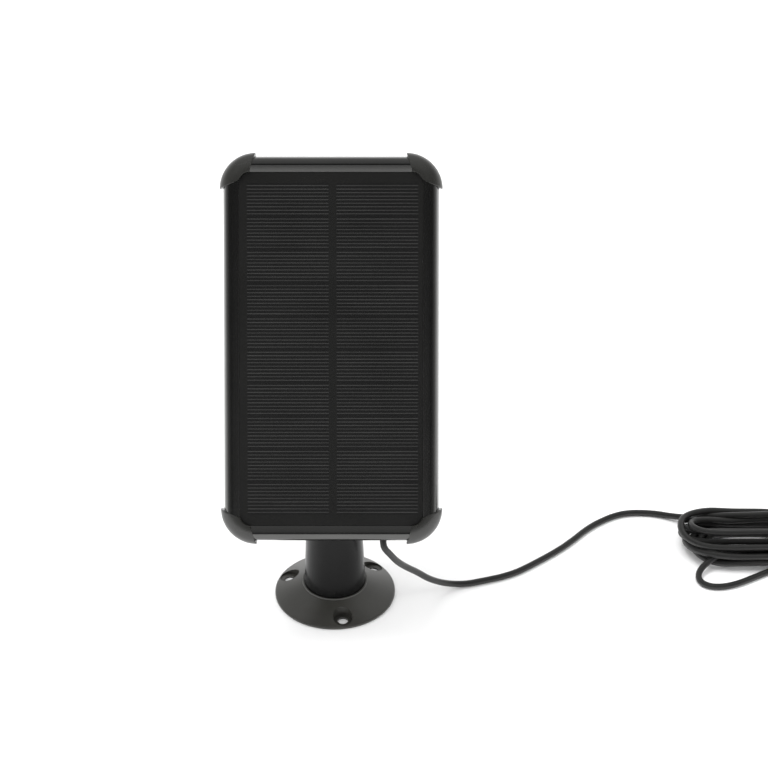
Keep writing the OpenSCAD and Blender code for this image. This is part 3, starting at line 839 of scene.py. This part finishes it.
@dataclass
class CrossScrews:
    """Countersunk screws with a cross recess.

    Attributes:
        shank_r: radius of the shank.
        head_r: radius of the head.
        length: length over all.
        arm_w: half the width of an arm of the cross, as a share of the head's radius.
        arm_l: length of an arm, as a share of the head's radius.
        depth: depth of the recess, as a share of the head's radius.
        steps: points round a screw.
    """

    shank_r: float
    head_r: float
    length: float
    arm_w: float = 0.13
    arm_l: float = 0.60
    depth: float = 0.42
    steps: int = 56

    def one(self) -> np.ndarray:
        """One screw with the middle of its head's face at the origin, pointing up +z.

        The profile runs from the middle over the face, down the cone and along the shank to its point. Its
        face sinks where either arm's band, |y| under half its width and |x| under its length, is 1; a band's
        edges are ramps.

        Returns:
            Array of profile points by angles by 3.
        """
        face = np.linspace(0.02, 0.94, 15) * self.head_r
        cone = self.head_r - self.shank_r
        r = np.concatenate([face, [self.head_r, self.shank_r, self.shank_r, self.shank_r * 0.9, 0.02 * MM]])
        h = np.concatenate([
            0 * face, [0.05 * self.head_r, cone, self.length * 0.8, self.length * 0.86, self.length]
        ])
        t = np.linspace(0, FULL_TURN, self.steps, endpoint=False)
        x, y = r[:, None] * np.cos(t), r[:, None] * np.sin(t)
        ramp = 0.10 * self.head_r

        def band(value: np.ndarray, limit: float) -> np.ndarray:
            """1 inside a limit and 0 outside it, with a ramp between.

            Args:
                value: the values.
                limit: the limit either way from 0.

            Returns:
                The shares.
            """
            return np.clip((limit - np.abs(value)) / ramp + 0.5, 0, 1)

        arm_w, arm_l = self.arm_w * self.head_r, self.arm_l * self.head_r
        cross = np.maximum(band(y, arm_w) * band(x, arm_l), band(x, arm_w) * band(y, arm_l))
        on_face = np.arange(len(r))[:, None] < len(face)
        z = h[:, None] + np.where(on_face, cross * self.depth * self.head_r, 0)
        return np.stack([x, y, z], -1)

    def build(self, name: str, places: Sequence[Point], plane: PanelPlane,
              paint: bpy.types.Material) -> bpy.types.Object:
        """Sets a screw at each place on the panel's back.

        Args:
            name: the piece's name.
            places: middles of the heads' faces in the panel's frame.
            plane: the panel's frame.
            paint: the screws' material.

        Returns:
            The piece with all its screws.
        """
        one = self.one()
        meshes = [patch(plane.to_world(one + np.array(at)), (self.length, self.head_r)) for at in places]
        built = bmesh.new()
        for mesh in meshes:
            built.from_mesh(mesh)
        whole = bpy.data.meshes.new(name)
        built.to_mesh(whole)
        built.free()
        piece = link(name, whole, paint)
        sharpen(piece, 35)
        return piece


# ---------------------------------------------------------------- wall bracket


@dataclass
class WallBracket(Assembly):
    """The cast flange and neck, and what holds them together."""

    def build(self) -> None:
        """Dresses the bracket."""
        self.dress(Finish.CAST, "mount_flange")
        # The neck's darker copy of the cast paint is painted shade.
        self.dress(Finish.NECK, "neck")
        self.dress(Finish.STEEL, "neck_screws")
        self.dress(Finish.LOW_FRICTION, "pan_friction_disc")


@dataclass
class TiltJoint(Assembly):
    """The swivel head, the hinge bolt, the clamp knob and the plate on the panel's back.

    Attributes:
        plate_t: thickness of the plate.
        screw_x: distance of the plate's screws from the middle.
        screw_y: heights of the plate's screws.
    """

    plate_t: float = 3 * MM
    screw_x: float = 12 * MM
    screw_y: tuple = (-7 * MM, 29 * MM)

    def build(self) -> None:
        """Dresses the joint."""
        self.dress(Finish.CAST, "swivel_head")
        self.dress(Finish.MOULDED, "tilt_knob")
        self.dress(Finish.MOULDED, "panel_bracket")
        self.dress(Finish.STEEL, "pan_bolt", "pan_spring_washer", "tilt_bolt", "tilt_washers")
        self.dress(Finish.BRASS, "knob_insert")
        places = [(s * self.screw_x, y, self.plane.gap - self.plate_t) for s in (-1, 1) for y in self.screw_y]
        screws = CrossScrews(1.5 * MM, 2.9 * MM, self.plate_t + 4.5 * MM)
        piece = screws.build("bracket_cross_screws", places, self.plane, self.paints.get(Finish.STEEL))
        self.place(piece, Finish.STEEL, Body.PANEL, "bracket_screws")


# ---------------------------------------------------------------- panel


@dataclass
class PanelFrame(Assembly):
    """The four drawn rails, their keys and the moulded corner caps.

    Attributes:
        bulge_r: radius of a rail's bulging side.
        corner_r: radius where the bulge meets the rail's flat front and back.
        lip: rounding of a rail's inner edges.
        lip_from: distance from a rail's outer edge to where its front starts to slope down to the sheet.
        lip_slope: that slope in degrees.
        lip_bend: radius of the bend into the slope.
        into_cap: how far a rail reaches into its caps, past the middle of their corner radius.
        cap_over: how far the caps stand above the rails' front and back.
        cap_round: radius of a cap's rounded side.
        glass_r: corner radius of the opening for the front sheet.
        top_slant: slant of a cap's end on the top or bottom rail, in degrees.
        side_slant: slant of a cap's end on a side rail, in degrees.
        screw_at: distance of a cap's screw from the middle of the cap's corner radius, both ways.
        screw_depth: how far a cap's screw lies inside the back.
        screw_r: radius of a cap screw's head.
    """

    bulge_r: float = 16 * MM
    corner_r: float = 4 * MM
    lip: float = 0.3 * MM
    lip_from: float = 4.6 * MM
    lip_slope: float = 16.9
    lip_bend: float = 2.5 * MM
    into_cap: float = 3.9 * MM
    cap_over: float = 0.9 * MM
    cap_round: float = 8.5 * MM
    glass_r: float = 5.8 * MM
    top_slant: float = 15.0
    side_slant: float = 20.0
    screw_at: float = 8.8 * MM
    screw_depth: float = 1.0 * MM
    screw_r: float = 2.3 * MM

    def rail_outline(self) -> np.ndarray:
        """A rail's outline: x inwards from its outer edge, z from its middle towards the front.

        The side is an arc of the bulge's radius. At each end it runs smoothly into an arc of the corner's
        radius, whose middle lies a corner radius inside both the bulge and the flat, and then into the flat.
        On the front the flat bends down into a slope that ends at the sheet's opening.

        Returns:
            Array of n by 2 points.
        """
        half, r, bulge = self.plane.thick / 2, self.corner_r, self.bulge_r
        middle = bulge - math.sqrt((bulge - r) ** 2 - (half - r) ** 2)
        meet = math.degrees(math.atan2(half - r, bulge - middle))
        side = arc((bulge, 0), bulge, 180 - meet, 180 + meet, 14)
        front = arc((middle, half - r), r, 90, 180 - meet, 9)[:-1]
        back = arc((middle, r - half), r, 180 + meet, 270, 9)[1:]
        face, lip, fall = self.plane.rail_face, self.lip, math.radians(self.lip_slope)
        ridge = arc((self.lip_from - self.lip_bend * math.tan(fall / 2), half - self.lip_bend), self.lip_bend,
                    90 - self.lip_slope, 90, 5)
        edge = half - (face - lip - self.lip_from) * math.tan(fall) - lip / math.cos(fall)
        front_lip = arc((face - lip, edge), lip, 0, 90 - self.lip_slope, 4)
        back_lip = arc((face - lip, lip - half), lip, 270, 360, 4)
        return np.concatenate([front_lip, ridge, front, side, back, back_lip])

    def rail(self, side: str) -> bpy.types.Object:
        """One rail: its outline carried straight along its length, with U along the length.

        Args:
            side: left, right, top or bottom.

        Returns:
            The rail.
        """
        plane = self.plane
        outline = self.rail_outline()
        upright = side in ("left", "right")
        sign = 1 if side in ("right", "top") else -1
        long, short = (plane.height, plane.width) if upright else (plane.width, plane.height)
        length = long - 2 * plane.cap_r + 2 * self.into_cap
        along = np.linspace(-length / 2, length / 2, 9)[:, None] * np.ones(len(outline))
        across = sign * (short / 2 - plane.proud - outline[:, 0]) * np.ones_like(along)
        out = (plane.gap + plane.thick / 2 + outline[:, 1]) * np.ones_like(along)
        x, y = (across, along) if upright else (along, across)
        mesh = patch(plane.to_world(np.stack([x, y + plane.mid_y, out], -1)), (length, 56 * MM))
        piece = link("rail_" + side + "_drawn", mesh, self.paints.get(Finish.RAILS))
        sharpen(piece, 28)
        self.place(piece, Finish.RAILS, Body.PANEL, "rail_" + side)
        return piece

    def inner_edge(self, angle: np.ndarray) -> np.ndarray:
        """Distance from the middle of a corner's radius to the rounded edge of the sheet's opening.

        Along the straight sides it is the opening's distance over the cosine of the angle from that side. In
        the corner it is where the ray meets the arc: with m the arc's middle along both axes and p the ray's
        share of it, p plus the square root of p squared less 2 m squared plus the radius squared.

        Args:
            angle: angles from the x axis.

        Returns:
            The distances.
        """
        inside = self.plane.cap_r - self.plane.proud - self.plane.rail_face
        m = inside - self.glass_r
        p = m * (np.cos(angle) + np.sin(angle))
        on_arc = p + np.sqrt(p**2 - 2 * m**2 + self.glass_r**2)
        start = math.atan2(m, inside)
        low, high = angle < start, angle > math.pi / 2 - start
        straight = inside / np.maximum(np.cos(np.where(low, angle, 0)), 0.2)
        beside = inside / np.maximum(np.sin(np.where(high, angle, math.pi / 2)), 0.2)
        return np.where(low, straight, np.where(high, beside, on_arc))

    def cap_points(self) -> np.ndarray:
        """A cap in its corner's own frame, x and y outwards and z from the panel's middle to its front.

        Its section runs from the opening's edge over a flat, round an arc of the cap's rounding to the side,
        and back likewise. A point at distance d goes to d cos a, d sin a, with a between the angles at which
        the slanted ends cut a circle of radius d: 90 degrees less the slant and less the angle whose cosine
        is cap_r sin(slant) / d, and the same from the other side. The first and last rows draw in a little
        towards the section's middle, which rounds the ends.

        Returns:
            Array of rows by section points by 3.
        """
        plane, half = self.plane, self.plane.thick / 2 + self.cap_over
        r, bend = plane.cap_r, self.cap_round
        lip = 0.45 * MM
        front = arc((r - bend, half - bend), bend, 86, 0, 14)
        back = arc((r - bend, bend - half), bend, 0, -86, 14)
        over = np.array([[lip, half], [0.28 * lip, half - 0.28 * lip], [0, half - lip]])[::-1]
        under = np.array([[lip, -half], [0.28 * lip, 0.28 * lip - half], [0, lip - half]])
        reach = np.concatenate([over[:, 0], front[:, 0], back[:, 0], under[:, 0]])
        height = np.concatenate([over[:, 1], front[:, 1], back[:, 1], under[:, 1]])
        on_edge = np.arange(len(reach))
        on_edge = (on_edge < 3) | (on_edge >= len(reach) - 3)
        cut_at = np.where(on_edge, 8.8 * MM, reach)
        top, side = math.radians(self.top_slant), math.radians(self.side_slant)
        last = top + np.arccos(np.clip(r * math.sin(top) / cut_at, -1, 1))
        first = math.pi / 2 - side - np.arccos(np.clip(r * math.sin(side) / cut_at, -1, 1))
        share = np.concatenate([[0, 0.006, 0.02], np.linspace(0.05, 0.95, 25), [0.98, 0.994, 1]])[:, None]
        angle = first + share * (last - first)
        distance = np.where(on_edge, self.inner_edge(angle) + reach, reach)
        shrink = np.concatenate([[0.93, 0.98, 1.0], np.ones(25), [1.0, 0.98, 0.93]])[:, None]
        middle = (distance.max(1, keepdims=True) + distance.min(1, keepdims=True)) / 2
        distance = middle + (distance - middle) * shrink
        z = height * shrink
        return np.stack([distance * np.cos(angle), distance * np.sin(angle), z], -1)

    def cap(self, name: str, right: int, top: int) -> bpy.types.Object:
        """One corner cap with the pocket for its screw.

        Args:
            name: the CAD node that it stands for.
            right: 1 on the right and -1 on the left.
            top: 1 at the top and -1 at the bottom.

        Returns:
            The cap.
        """
        plane = self.plane
        local = self.cap_points()
        x = right * (plane.width / 2 - plane.cap_r + local[..., 0])
        y = plane.mid_y + top * (plane.height / 2 - plane.cap_r + local[..., 1])
        z = plane.gap + plane.thick / 2 + local[..., 2]
        mesh = patch(plane.to_world(np.stack([x, y, z], -1)), (24 * MM, 60 * MM))
        piece = link(name + "_moulded", mesh, self.paints.get(Finish.CAPS))
        at = (right * (plane.width / 2 - plane.cap_r + self.screw_at),
              plane.mid_y + top * (plane.height / 2 - plane.cap_r + self.screw_at), plane.gap)
        t = np.linspace(0, FULL_TURN, 40, endpoint=False)
        ring = np.stack([self.screw_r * 1.04 * np.cos(t), self.screw_r * 1.04 * np.sin(t), 0 * t], -1)
        depths = np.array([-4 * MM, self.screw_depth + 0.02 * MM])[:, None, None] * np.array([0, 0, 1.0])
        cutter = link("pocket", patch(plane.to_world(ring + depths + np.array(at)), (MM, MM)),
                      self.paints.get(Finish.CAPS))
        hollow(piece, cutter)
        sharpen(piece, 30)
        self.place(piece, Finish.CAPS, Body.PANEL, name)
        return piece

    def build(self) -> None:
        """Makes the frame."""
        for side in ("left", "right", "top", "bottom"):
            self.rail(side)
        self.dress(Finish.MOULDED, "corner_keys")
        for name, right, top in (("top_left", -1, 1), ("top_right", 1, 1), ("bottom_left", -1, -1),
                                 ("bottom_right", 1, -1)):
            self.cap("corner_cap_" + name, right, top)
        plane = self.plane
        x = plane.width / 2 - plane.cap_r + self.screw_at
        y = plane.height / 2 - plane.cap_r + self.screw_at
        depth = plane.gap + self.screw_depth
        places = [(s * x, plane.mid_y + t * y, depth) for s in (-1, 1) for t in (-1, 1)]
        screws = CrossScrews(1.25 * MM, self.screw_r, 9.5 * MM)
        piece = screws.build("cap_cross_screws", places, plane, self.paints.get(Finish.BLACK_STEEL))
        self.place(piece, Finish.BLACK_STEEL, Body.PANEL, "cap_screws")


@dataclass
class Laminate(Assembly):
    """The front sheet, the cells and what holds them."""

    def build(self) -> None:
        """Dresses the laminate."""
        face = PanelFace("panel_face", self.plane.pivot_z, self.plane.lean, self.plane.mid_y)
        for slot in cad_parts["solar_glass"].material_slots:
            slot.material = face.dress()
        self.dress(Finish.SILICON, "cells_left", "cells_right")
        self.dress(Finish.LAMINATE, "encapsulant", "backsheet")
        self.dress(Finish.STEEL, "bus_ribbons")


@dataclass
class RearCase(Assembly):
    """The back cover with its screws, and the charge board behind it.

    Attributes:
        screw_inset: distance of the cover's screws from the rails' outer edge.
        screw_rows: heights of the side screws, as shares of the rails' height.
        screw_columns: places of the end screws.
    """

    screw_inset: float = 10.5 * MM
    screw_rows: tuple = (-0.36, -0.12, 0.12, 0.36)
    screw_columns: tuple = (-24 * MM, 24 * MM)

    def build(self) -> None:
        """Dresses the case."""
        self.dress(Finish.MOULDED, "back_cover")
        self.dress(Finish.RUBBER, "cover_gasket")
        self.dress(Finish.BOARD, "charge_board")
        self.dress(Finish.ELECTRONICS, "board_parts", "output_leads")
        self.dress(Finish.LEAD_RED, "panel_leads")
        self.dress(Finish.STEEL, "board_screws")
        plane = self.plane
        half_w = plane.width / 2 - plane.proud
        half_h = plane.height / 2 - plane.proud
        sides = [(s * (half_w - self.screw_inset), plane.mid_y + row * 2 * half_h, plane.gap)
                 for s in (-1, 1) for row in self.screw_rows]
        ends = [(x, plane.mid_y + s * (half_h - self.screw_inset), plane.gap)
                for x in self.screw_columns for s in (-1, 1)]
        screws = CrossScrews(1.0 * MM, 1.9 * MM, 5.5 * MM)
        piece = screws.build("cover_cross_screws", sides + ends, plane, self.paints.get(Finish.STEEL))
        self.place(piece, Finish.STEEL, Body.PANEL, "cover_screws")


@dataclass
class LeadEntry(Assembly):
    """The housing where the lead enters, with its relief."""

    def build(self) -> None:
        """Dresses the entry."""
        self.dress(Finish.MOULDED, "gland_housing")
        self.dress(Finish.STEEL, "housing_screws")
        self.dress(Finish.RUBBER, "strain_relief")
        self.dress(Finish.JACKET, "cable_entry")


# ---------------------------------------------------------------- lead


@dataclass
class Lead(Assembly):
    """The panel's lead: a limp round cable with a small plug, most of it folded into a tied hank.

    The route runs from the strain relief down to the table and along it, and is listed point by point. The
    hank's turns are worked out from one row each, and then settle: the strands push each other apart and
    bend stiffly, near where they were laid, with the tie pulling them together.

    Attributes:
        radius: the cable's radius.
        length: its whole length.
        spacing: distance between the points of its centre line.
        drop: points from the relief to the table, in millimetres.
        run: points along the table and up onto the hank, in millimetres.
        rise: points from the run up onto the hank, in millimetres.
        turns: each turn's left end, middle across, width and height, in millimetres, from the top down.
        right_x: the turns' right end in millimetres.
        right_step: how much shorter each turn is at its right end than the last, over three turns, likewise.
        strand_x: places along a straight strand where its points lie, in millimetres.
        droop: points of the last strand's loop on the table and back along the hank, in millimetres.
        tail: points from the hank to the plug, in millimetres.
        tie_x: middle of the tie.
        tie_y: middle of the bundle under the tie.
        tie_reach: how far along the hank the tie's pull is felt.
        tie_pull: share of the way to the tie's middle that a point under it moves in each step.
        home_pull: share of the way back to where it was laid that a point moves in each step.
        own_reach: distance along the cable within which its points don't push each other apart.
        look_out: how far apart two points may be to be listed as near each other, in diameters.
        push: share of a lacking distance by which each of two strands moves apart in each step.
        stiffness: pairs of a stride along the line and the share of the fourth difference taken back.
        longest_move: the farthest that a point moves along an axis in each step.
        clearance: room between the cable and the table.
        blend_start: where the cable starts to leave the panel's motion; not used.
        blend_end: where it is wholly on the swivel; not used.
    """

    radius: float = 1.75 * MM
    length: float = 3.0
    spacing: float = 2.0 * MM
    drop: tuple = (
        (26, -28.3, 57.5), (26.2, -30, 54.5), (27.2, -30.3, 52), (29.3, -28.7, 48), (33, -25, 40.5),
        (37.5, -19.5, 32.5), (44, -13, 23.5), (50, -8, 15.5), (56, -3, 9), (62, 1, 4.6), (68, 3.4, 2.4),
        (73.5, 4.85, 1.8),
    )
    run: tuple = (
        (77, 5.9, 1.8), (80.5, 6.95, 1.8), (85, 8.4, 1.8), (91, 10.5, 1.8), (99, 14.5, 1.8), (106, 19.5, 1.8),
        (113.5, 25.5, 1.8), (120, 31, 1.8), (126.5, 37, 1.8), (133, 44, 1.8), (139, 51, 1.8), (145, 57, 1.8),
        (151.5, 62, 1.8), (157, 65.5, 1.8), (163, 68, 1.8), (169, 69, 1.8), (175, 69, 1.8), (182, 68, 1.9),
        (189, 65.5, 2.4), (196, 62, 4), (203, 57.5, 7),
    )
    rise: tuple = ((210, 52.5, 10), (218, 49.5, 12.6), (227, 48, 14))
    turns: tuple = (
        (205, 41, 18, 15.8), (189, 36, 26, 12.3), (194, 47, 18, 12.3), (191, 44, 22, 8.8), (193, 34, 30, 8.8),
        (195, 37, 37, 5.3), (200, 38, 28, 5.3), (205, 40.5, 19, 5.3),
        (209, 40.5, 19, 1.8), (204, 38, 28, 1.8), (199, 37, 37, 1.8),
    )
    right_x: float = 301
    right_step: float = 2.5
    strand_x: tuple = (232, 250, 268)
    droop: tuple = (
        (240, 16.5, 1.8), (231, 11.5, 1.8), (222, 6, 1.8), (214, 2.8, 1.8),
        (207, 1.5, 1.8), (201, 2.5, 1.8), (197.5, 6.5, 1.8), (198, 12, 1.8), (202, 17, 3.4), (209, 21, 6.5),
        (220, 25, 8), (240, 28, 8.5), (262, 31, 8.8), (285, 31, 8),
    )
    tail: tuple = (
        (302, 30, 6), (309, 29.2, 5.8), (315, 26.5, 5.4), (319, 22, 5), (320, 17, 4.6), (317.5, 12, 4.2),
        (314.5, 9.2, 4), (310, 8, 4), (306, 8, 4),
    )
    tie_x: float = 264 * MM
    tie_y: float = 38 * MM
    tie_reach: float = 7 * MM
    tie_pull: float = 0.02
    home_pull: float = 0.03
    own_reach: float = 9 * MM
    look_out: float = 1.9
    push: float = 0.35
    stiffness: tuple = ((1, 0.05), (2, 0.04), (3, 0.03))
    longest_move: float = 0.4 * MM
    clearance: float = 0.05 * MM
    blend_start: Point = (0.026, -0.026, 0.055)
    blend_end: Point = (0.060, 0.005, 0.005)

    def turn_points(self) -> list[Point]:
        """The hank's turns before they settle.

        A turn goes right along its back strand, round a half circle at the right end, left along its front
        strand, and round a half circle at its left end into the next turn's back strand.

        Returns:
            Points in millimetres.
        """
        points: list[Point] = []
        first_x, second_x, third_x = self.strand_x
        for number, (left, middle, width, height) in enumerate(self.turns):
            back, front = middle + width / 2, middle - width / 2
            right = self.right_x - (number % 3) * self.right_step
            if number:
                points.append((first_x, back, height))
            points += [(x, back, height) for x in (second_x, third_x, right - width / 2)]
            bend = arc((right - width / 2, middle), width / 2, 90, -90, 6)[1:-1]
            points += [(x, y, height) for x, y in bend]
            points += [(x, front, height) for x in (right - width / 2, third_x, second_x)]
            if number == len(self.turns) - 1:
                continue
            next_left, next_middle, next_width, next_height = self.turns[number + 1]
            next_back = next_middle + next_width / 2
            half = (next_back - front) / 2
            turn_x = (left + next_left) / 2 + abs(half)
            points += [(first_x, front, height), (turn_x, front, height)]
            bend = arc((turn_x, front + half), abs(half), -90, -270, 6)[1:-1]
            share = np.linspace(0, 1, len(bend))
            points += [(x, y, height + s * (next_height - height)) for (x, y), s in zip(bend, share)]
        return points

    def centre_line(self) -> tuple[np.ndarray, np.ndarray]:
        """The cable's whole centre line before it settles.

        Returns:
            The points at an even spacing in metres, and a mask of the ones that are held in place.
        """
        ahead = smooth_line(np.array(self.drop + self.run, float) * MM, self.spacing)
        inside = list(self.rise) + self.turn_points() + list(self.droop)
        whole = smooth_line(np.array([*self.drop, *self.run, *inside, *self.tail], float) * MM, self.spacing)
        behind = smooth_line(np.array(self.tail, float) * MM, self.spacing)
        index = np.arange(len(whole))
        held = (index < len(ahead) - 4) | (index > len(whole) - len(behind) + 4)
        return whole, held

    def settle(self, line: np.ndarray, held: np.ndarray, rounds: int = 60, steps: int = 12,
               even_rounds: int = 4) -> np.ndarray:
        """Lets the hank's strands find their places.

        In each step: points of different strands that are nearer than a diameter move apart by a share of
        what they lack; each point moves against the fourth difference of the line, which smooths its bends
        without shrinking its loops; each point moves back a little towards where it started; each span is
        drawn back to its first length; and nothing goes below the cable's radius. Points near the tie are
        also drawn towards its middle. Last, each point moves a few times towards the middle of its two
        neighbours, which takes out small unevenness.

        Args:
            line: the centre line.
            held: the points that don't move.
            rounds: how often the list of near pairs is made anew.
            steps: steps on each list.
            even_rounds: how often the points are evened out at the end.

        Returns:
            The settled centre line.
        """
        home = line
        line = line.copy()
        free = (~held).astype(float)[:, None]
        span = np.linalg.norm(np.diff(line, axis=0), axis=1, keepdims=True)
        first, second = np.triu_indices(len(line), k=round(self.own_reach / self.spacing))
        width = 2 * self.radius
        for number in range(rounds):
            apart = line[first] - line[second]
            near = (apart**2).sum(1) < (self.look_out * width) ** 2
            a, b = first[near], second[near]
            for _ in range(steps):
                away = line[a] - line[b]
                far = np.linalg.norm(away, axis=1, keepdims=True) + 1e-9
                push = away / far * np.clip(width * 1.01 - far, 0, None) * self.push
                move = np.zeros_like(line)
                for k in range(3):
                    move[:, k] = np.bincount(a, push[:, k], len(line)) - np.bincount(b, push[:, k], len(line))
                for stride, stiff in self.stiffness:
                    ends = 2 * stride
                    near_by = line[stride : len(line) - 3 * stride] + line[3 * stride : len(line) - stride]
                    far_off = line[: len(line) - 4 * stride] + line[4 * stride :]
                    move[ends:-ends] -= stiff * (far_off - 4 * near_by + 6 * line[ends:-ends])
                move += self.home_pull * (home - line)
                pinch = np.exp(-(((line[:, 0] - self.tie_x) / self.tie_reach) ** 2))
                move[:, 1] += self.tie_pull * pinch * (self.tie_y - line[:, 1])
                line = line + np.clip(move, -self.longest_move, self.longest_move) * free
                for start in (0, 1, 0, 1):
                    i = np.arange(start, len(line) - 1, 2)
                    step = line[i + 1] - line[i]
                    size = np.linalg.norm(step, axis=1, keepdims=True)
                    fix = step * (1 - span[i] / size)
                    share = free[i] + free[i + 1] + 1e-9
                    line[i] += fix * free[i] / share
                    line[i + 1] -= fix * free[i + 1] / share
                line[:, 2] = np.where(held, line[:, 2], np.maximum(line[:, 2], self.radius + self.clearance))
        for _ in range(even_rounds):
            line[1:-1] += 0.25 * free[1:-1] * (line[2:] - 2 * line[1:-1] + line[:-2])
        return line

    def build(self) -> None:
        """Makes the cable and dresses its tie and plug."""
        line, held = self.centre_line()
        LOG.info("lead: %d points, %.3f m", len(line), np.linalg.norm(np.diff(line, axis=0), axis=1).sum())
        line = self.settle(line, held)
        rings = tube_rings(line, self.radius)
        size = (self.length, FULL_TURN * self.radius)
        cable = link("lead_cable", patch(rings, size), self.paints.get(Finish.JACKET))
        sharpen(cable, 60)
        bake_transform(cable)
        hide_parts("cable_drop", "cable_run", "cable_hank", "cable_tail")
        self.dress(Finish.MOULDED, "cable_tie", "plug_grip")
        self.dress(Finish.RUBBER, "plug_boot")
        self.dress(Finish.STEEL, "plug_shell")
        self.dress(Finish.LOW_FRICTION, "plug_tongue")


# ---------------------------------------------------------------- studio


@dataclass
class Studio:
    """A pale floor under soft light, and the camera.

    Attributes:
        floor_size: side of the floor.
        floor_colour: its colour.
        sky: strength of the even light that falls on everything.
        behind: what gloss sees behind the model.
        dark: what gloss sees on the dark side, where the room behind the camera is.
        dark_side: direction of the dark side.
        dark_from: cosine of the angle from that direction where it starts to get darker.
        dark_to: cosine of the angle where it is fully dark.
        ceiling: what the ceiling adds to what gloss sees.
        ceiling_from: height of the direction, as a sine, where the ceiling starts.
        ceiling_to: height of the direction where the ceiling is fully there.
        glow: what the pale table's far end adds, low down.
        glow_from: height of the direction below which the glow is full.
        glow_to: height of the direction where the glow ends.
        camera_at: the camera's place.
        look_down: the camera's angle from straight down, in degrees.
        lens: focal length in millimetres on a 36 mm sensor.
    """

    floor_size: float = 8.0
    floor_colour: Colour = (0.82, 0.82, 0.82)
    sky: float = 1.2
    behind: float = 1.15
    dark: float = 0.05
    dark_side: Point = (0.0, -0.891, 0.454)
    dark_from: float = -0.90
    dark_to: float = 0.75
    ceiling: float = 0.35
    ceiling_from: float = 0.60
    ceiling_to: float = 0.90
    glow: float = 0.40
    glow_from: float = 0.05
    glow_to: float = 0.42
    camera_at: Point = (0.02647, -0.81620, 0.65702)
    look_down: float = 57.33
    lens: float = 90.0

    def camera(self) -> None:
        """Sets the camera in its place, looking along +Y and down."""
        data = bpy.data.cameras.new("camera")
        data.lens, data.sensor_width = self.lens, 36.0
        data.clip_start, data.clip_end = 0.01, 50.0
        camera = bpy.data.objects.new("camera", data)
        camera.location = self.camera_at
        camera.rotation_euler = (math.radians(self.look_down), 0, 0)
        bpy.context.scene.collection.objects.link(camera)
        bpy.context.scene.camera = camera

    def floor(self) -> None:
        """Lays the floor at the height that the flange and the lead rest on."""
        half = self.floor_size / 2
        corners = [(-half, -half, 0.0), (half, -half, 0.0), (half, half, 0.0), (-half, half, 0.0)]
        mesh = bpy.data.meshes.new("floor")
        mesh.from_pydata(corners, [], [(0, 1, 2, 3)])
        sheet = NodeSheet("floor_paint")
        sheet.set(base_color=self.floor_colour, roughness=0.9, specular_ior_level=0.1)
        mesh.materials.append(sheet.material)
        floor = bpy.data.objects.new("floor", mesh)
        bpy.context.scene.collection.objects.link(floor)

    def softbox(self, name: str, at: Point, aim: Point, size: tuple[float, float], power: float) -> None:
        """Hangs one softbox.

        Args:
            name: the light's name.
            at: its place.
            aim: the point that it faces.
            size: its width and height.
            power: its power in watts.
        """
        data = bpy.data.lights.new(name, "AREA")
        data.shape, data.size, data.size_y, data.energy = "RECTANGLE", *size, power
        light = bpy.data.objects.new(name, data)
        light.location = at
        toward = Vector(aim) - Vector(at)
        light.rotation_euler = toward.to_track_quat("-Z", "Y").to_euler()
        light.visible_glossy = False
        bpy.context.scene.collection.objects.link(light)

    def lights(self) -> None:
        """Sets the light from all round and the softboxes.

        The light is even, but gloss sees a room. With c the cosine of the angle from the dark side, and t the
        share of the way from dark_to to dark_from, it sees dark + (behind - dark) t squared, plus the ceiling
        and the glow.
        """
        world = bpy.data.worlds.new("studio")
        world.use_nodes = True
        sheet = NodeTree(world.node_tree)
        direction = sheet.node("TexCoord").outputs["Generated"]
        height = sheet.along(direction, (0, 0, 1))
        share = sheet.remap(sheet.along(direction, self.dark_side), self.dark_from, self.dark_to, 1, 0)
        ceiling = sheet.remap(height, self.ceiling_from, self.ceiling_to, 0, self.ceiling)
        glow = sheet.remap(height, self.glow_from, self.glow_to, self.glow, 0)
        added = sheet.sums("ADD", sheet.sums("ADD", ceiling, glow), self.dark)
        squared = sheet.sums("MULTIPLY", share, share)
        room = sheet.sums("MULTIPLY_ADD", squared, self.behind - self.dark, added)
        seen = sheet.node("Mix")
        sheet.feed(seen.inputs["Factor"], sheet.node("LightPath").outputs["Is Glossy Ray"])
        sheet.feed(seen.inputs["A"], self.sky)
        sheet.feed(seen.inputs["B"], room)
        background = world.node_tree.nodes["Background"]
        sheet.feed(background.inputs["Color"], (1, 1, 1, 1))
        sheet.feed(background.inputs["Strength"], seen.outputs["Result"])
        bpy.context.scene.world = world
        self.softbox("overhead", (-0.25, 0.15, 1.5), (0, 0, 0.1), (0.9, 0.6), 14.0)
        self.softbox("left", (-1.3, -0.5, 0.9), (0, 0, 0.1), (0.5, 0.9), 8.0)
        self.softbox("right", (1.3, -0.2, 0.7), (0, 0, 0.1), (0.5, 0.9), 5.0)

    def build(self) -> None:
        """Makes the whole studio and sets how the picture is toned."""
        self.camera()
        self.floor()
        self.lights()
        view = bpy.context.scene.view_settings
        view.view_transform = "Standard"
        view.look = "None"


def main() -> None:
    """Builds the studio, then the lead and the other parts."""
    logging.basicConfig(level=logging.INFO, format="%(name)s: %(message)s")
    paints, plane = Paints(), PanelPlane()
    Studio().build()
    for assembly in (Lead, WallBracket, TiltJoint, PanelFrame, Laminate, RearCase, LeadEntry):
        assembly(paints, plane).build()


if __name__ == "__main__":
    main()
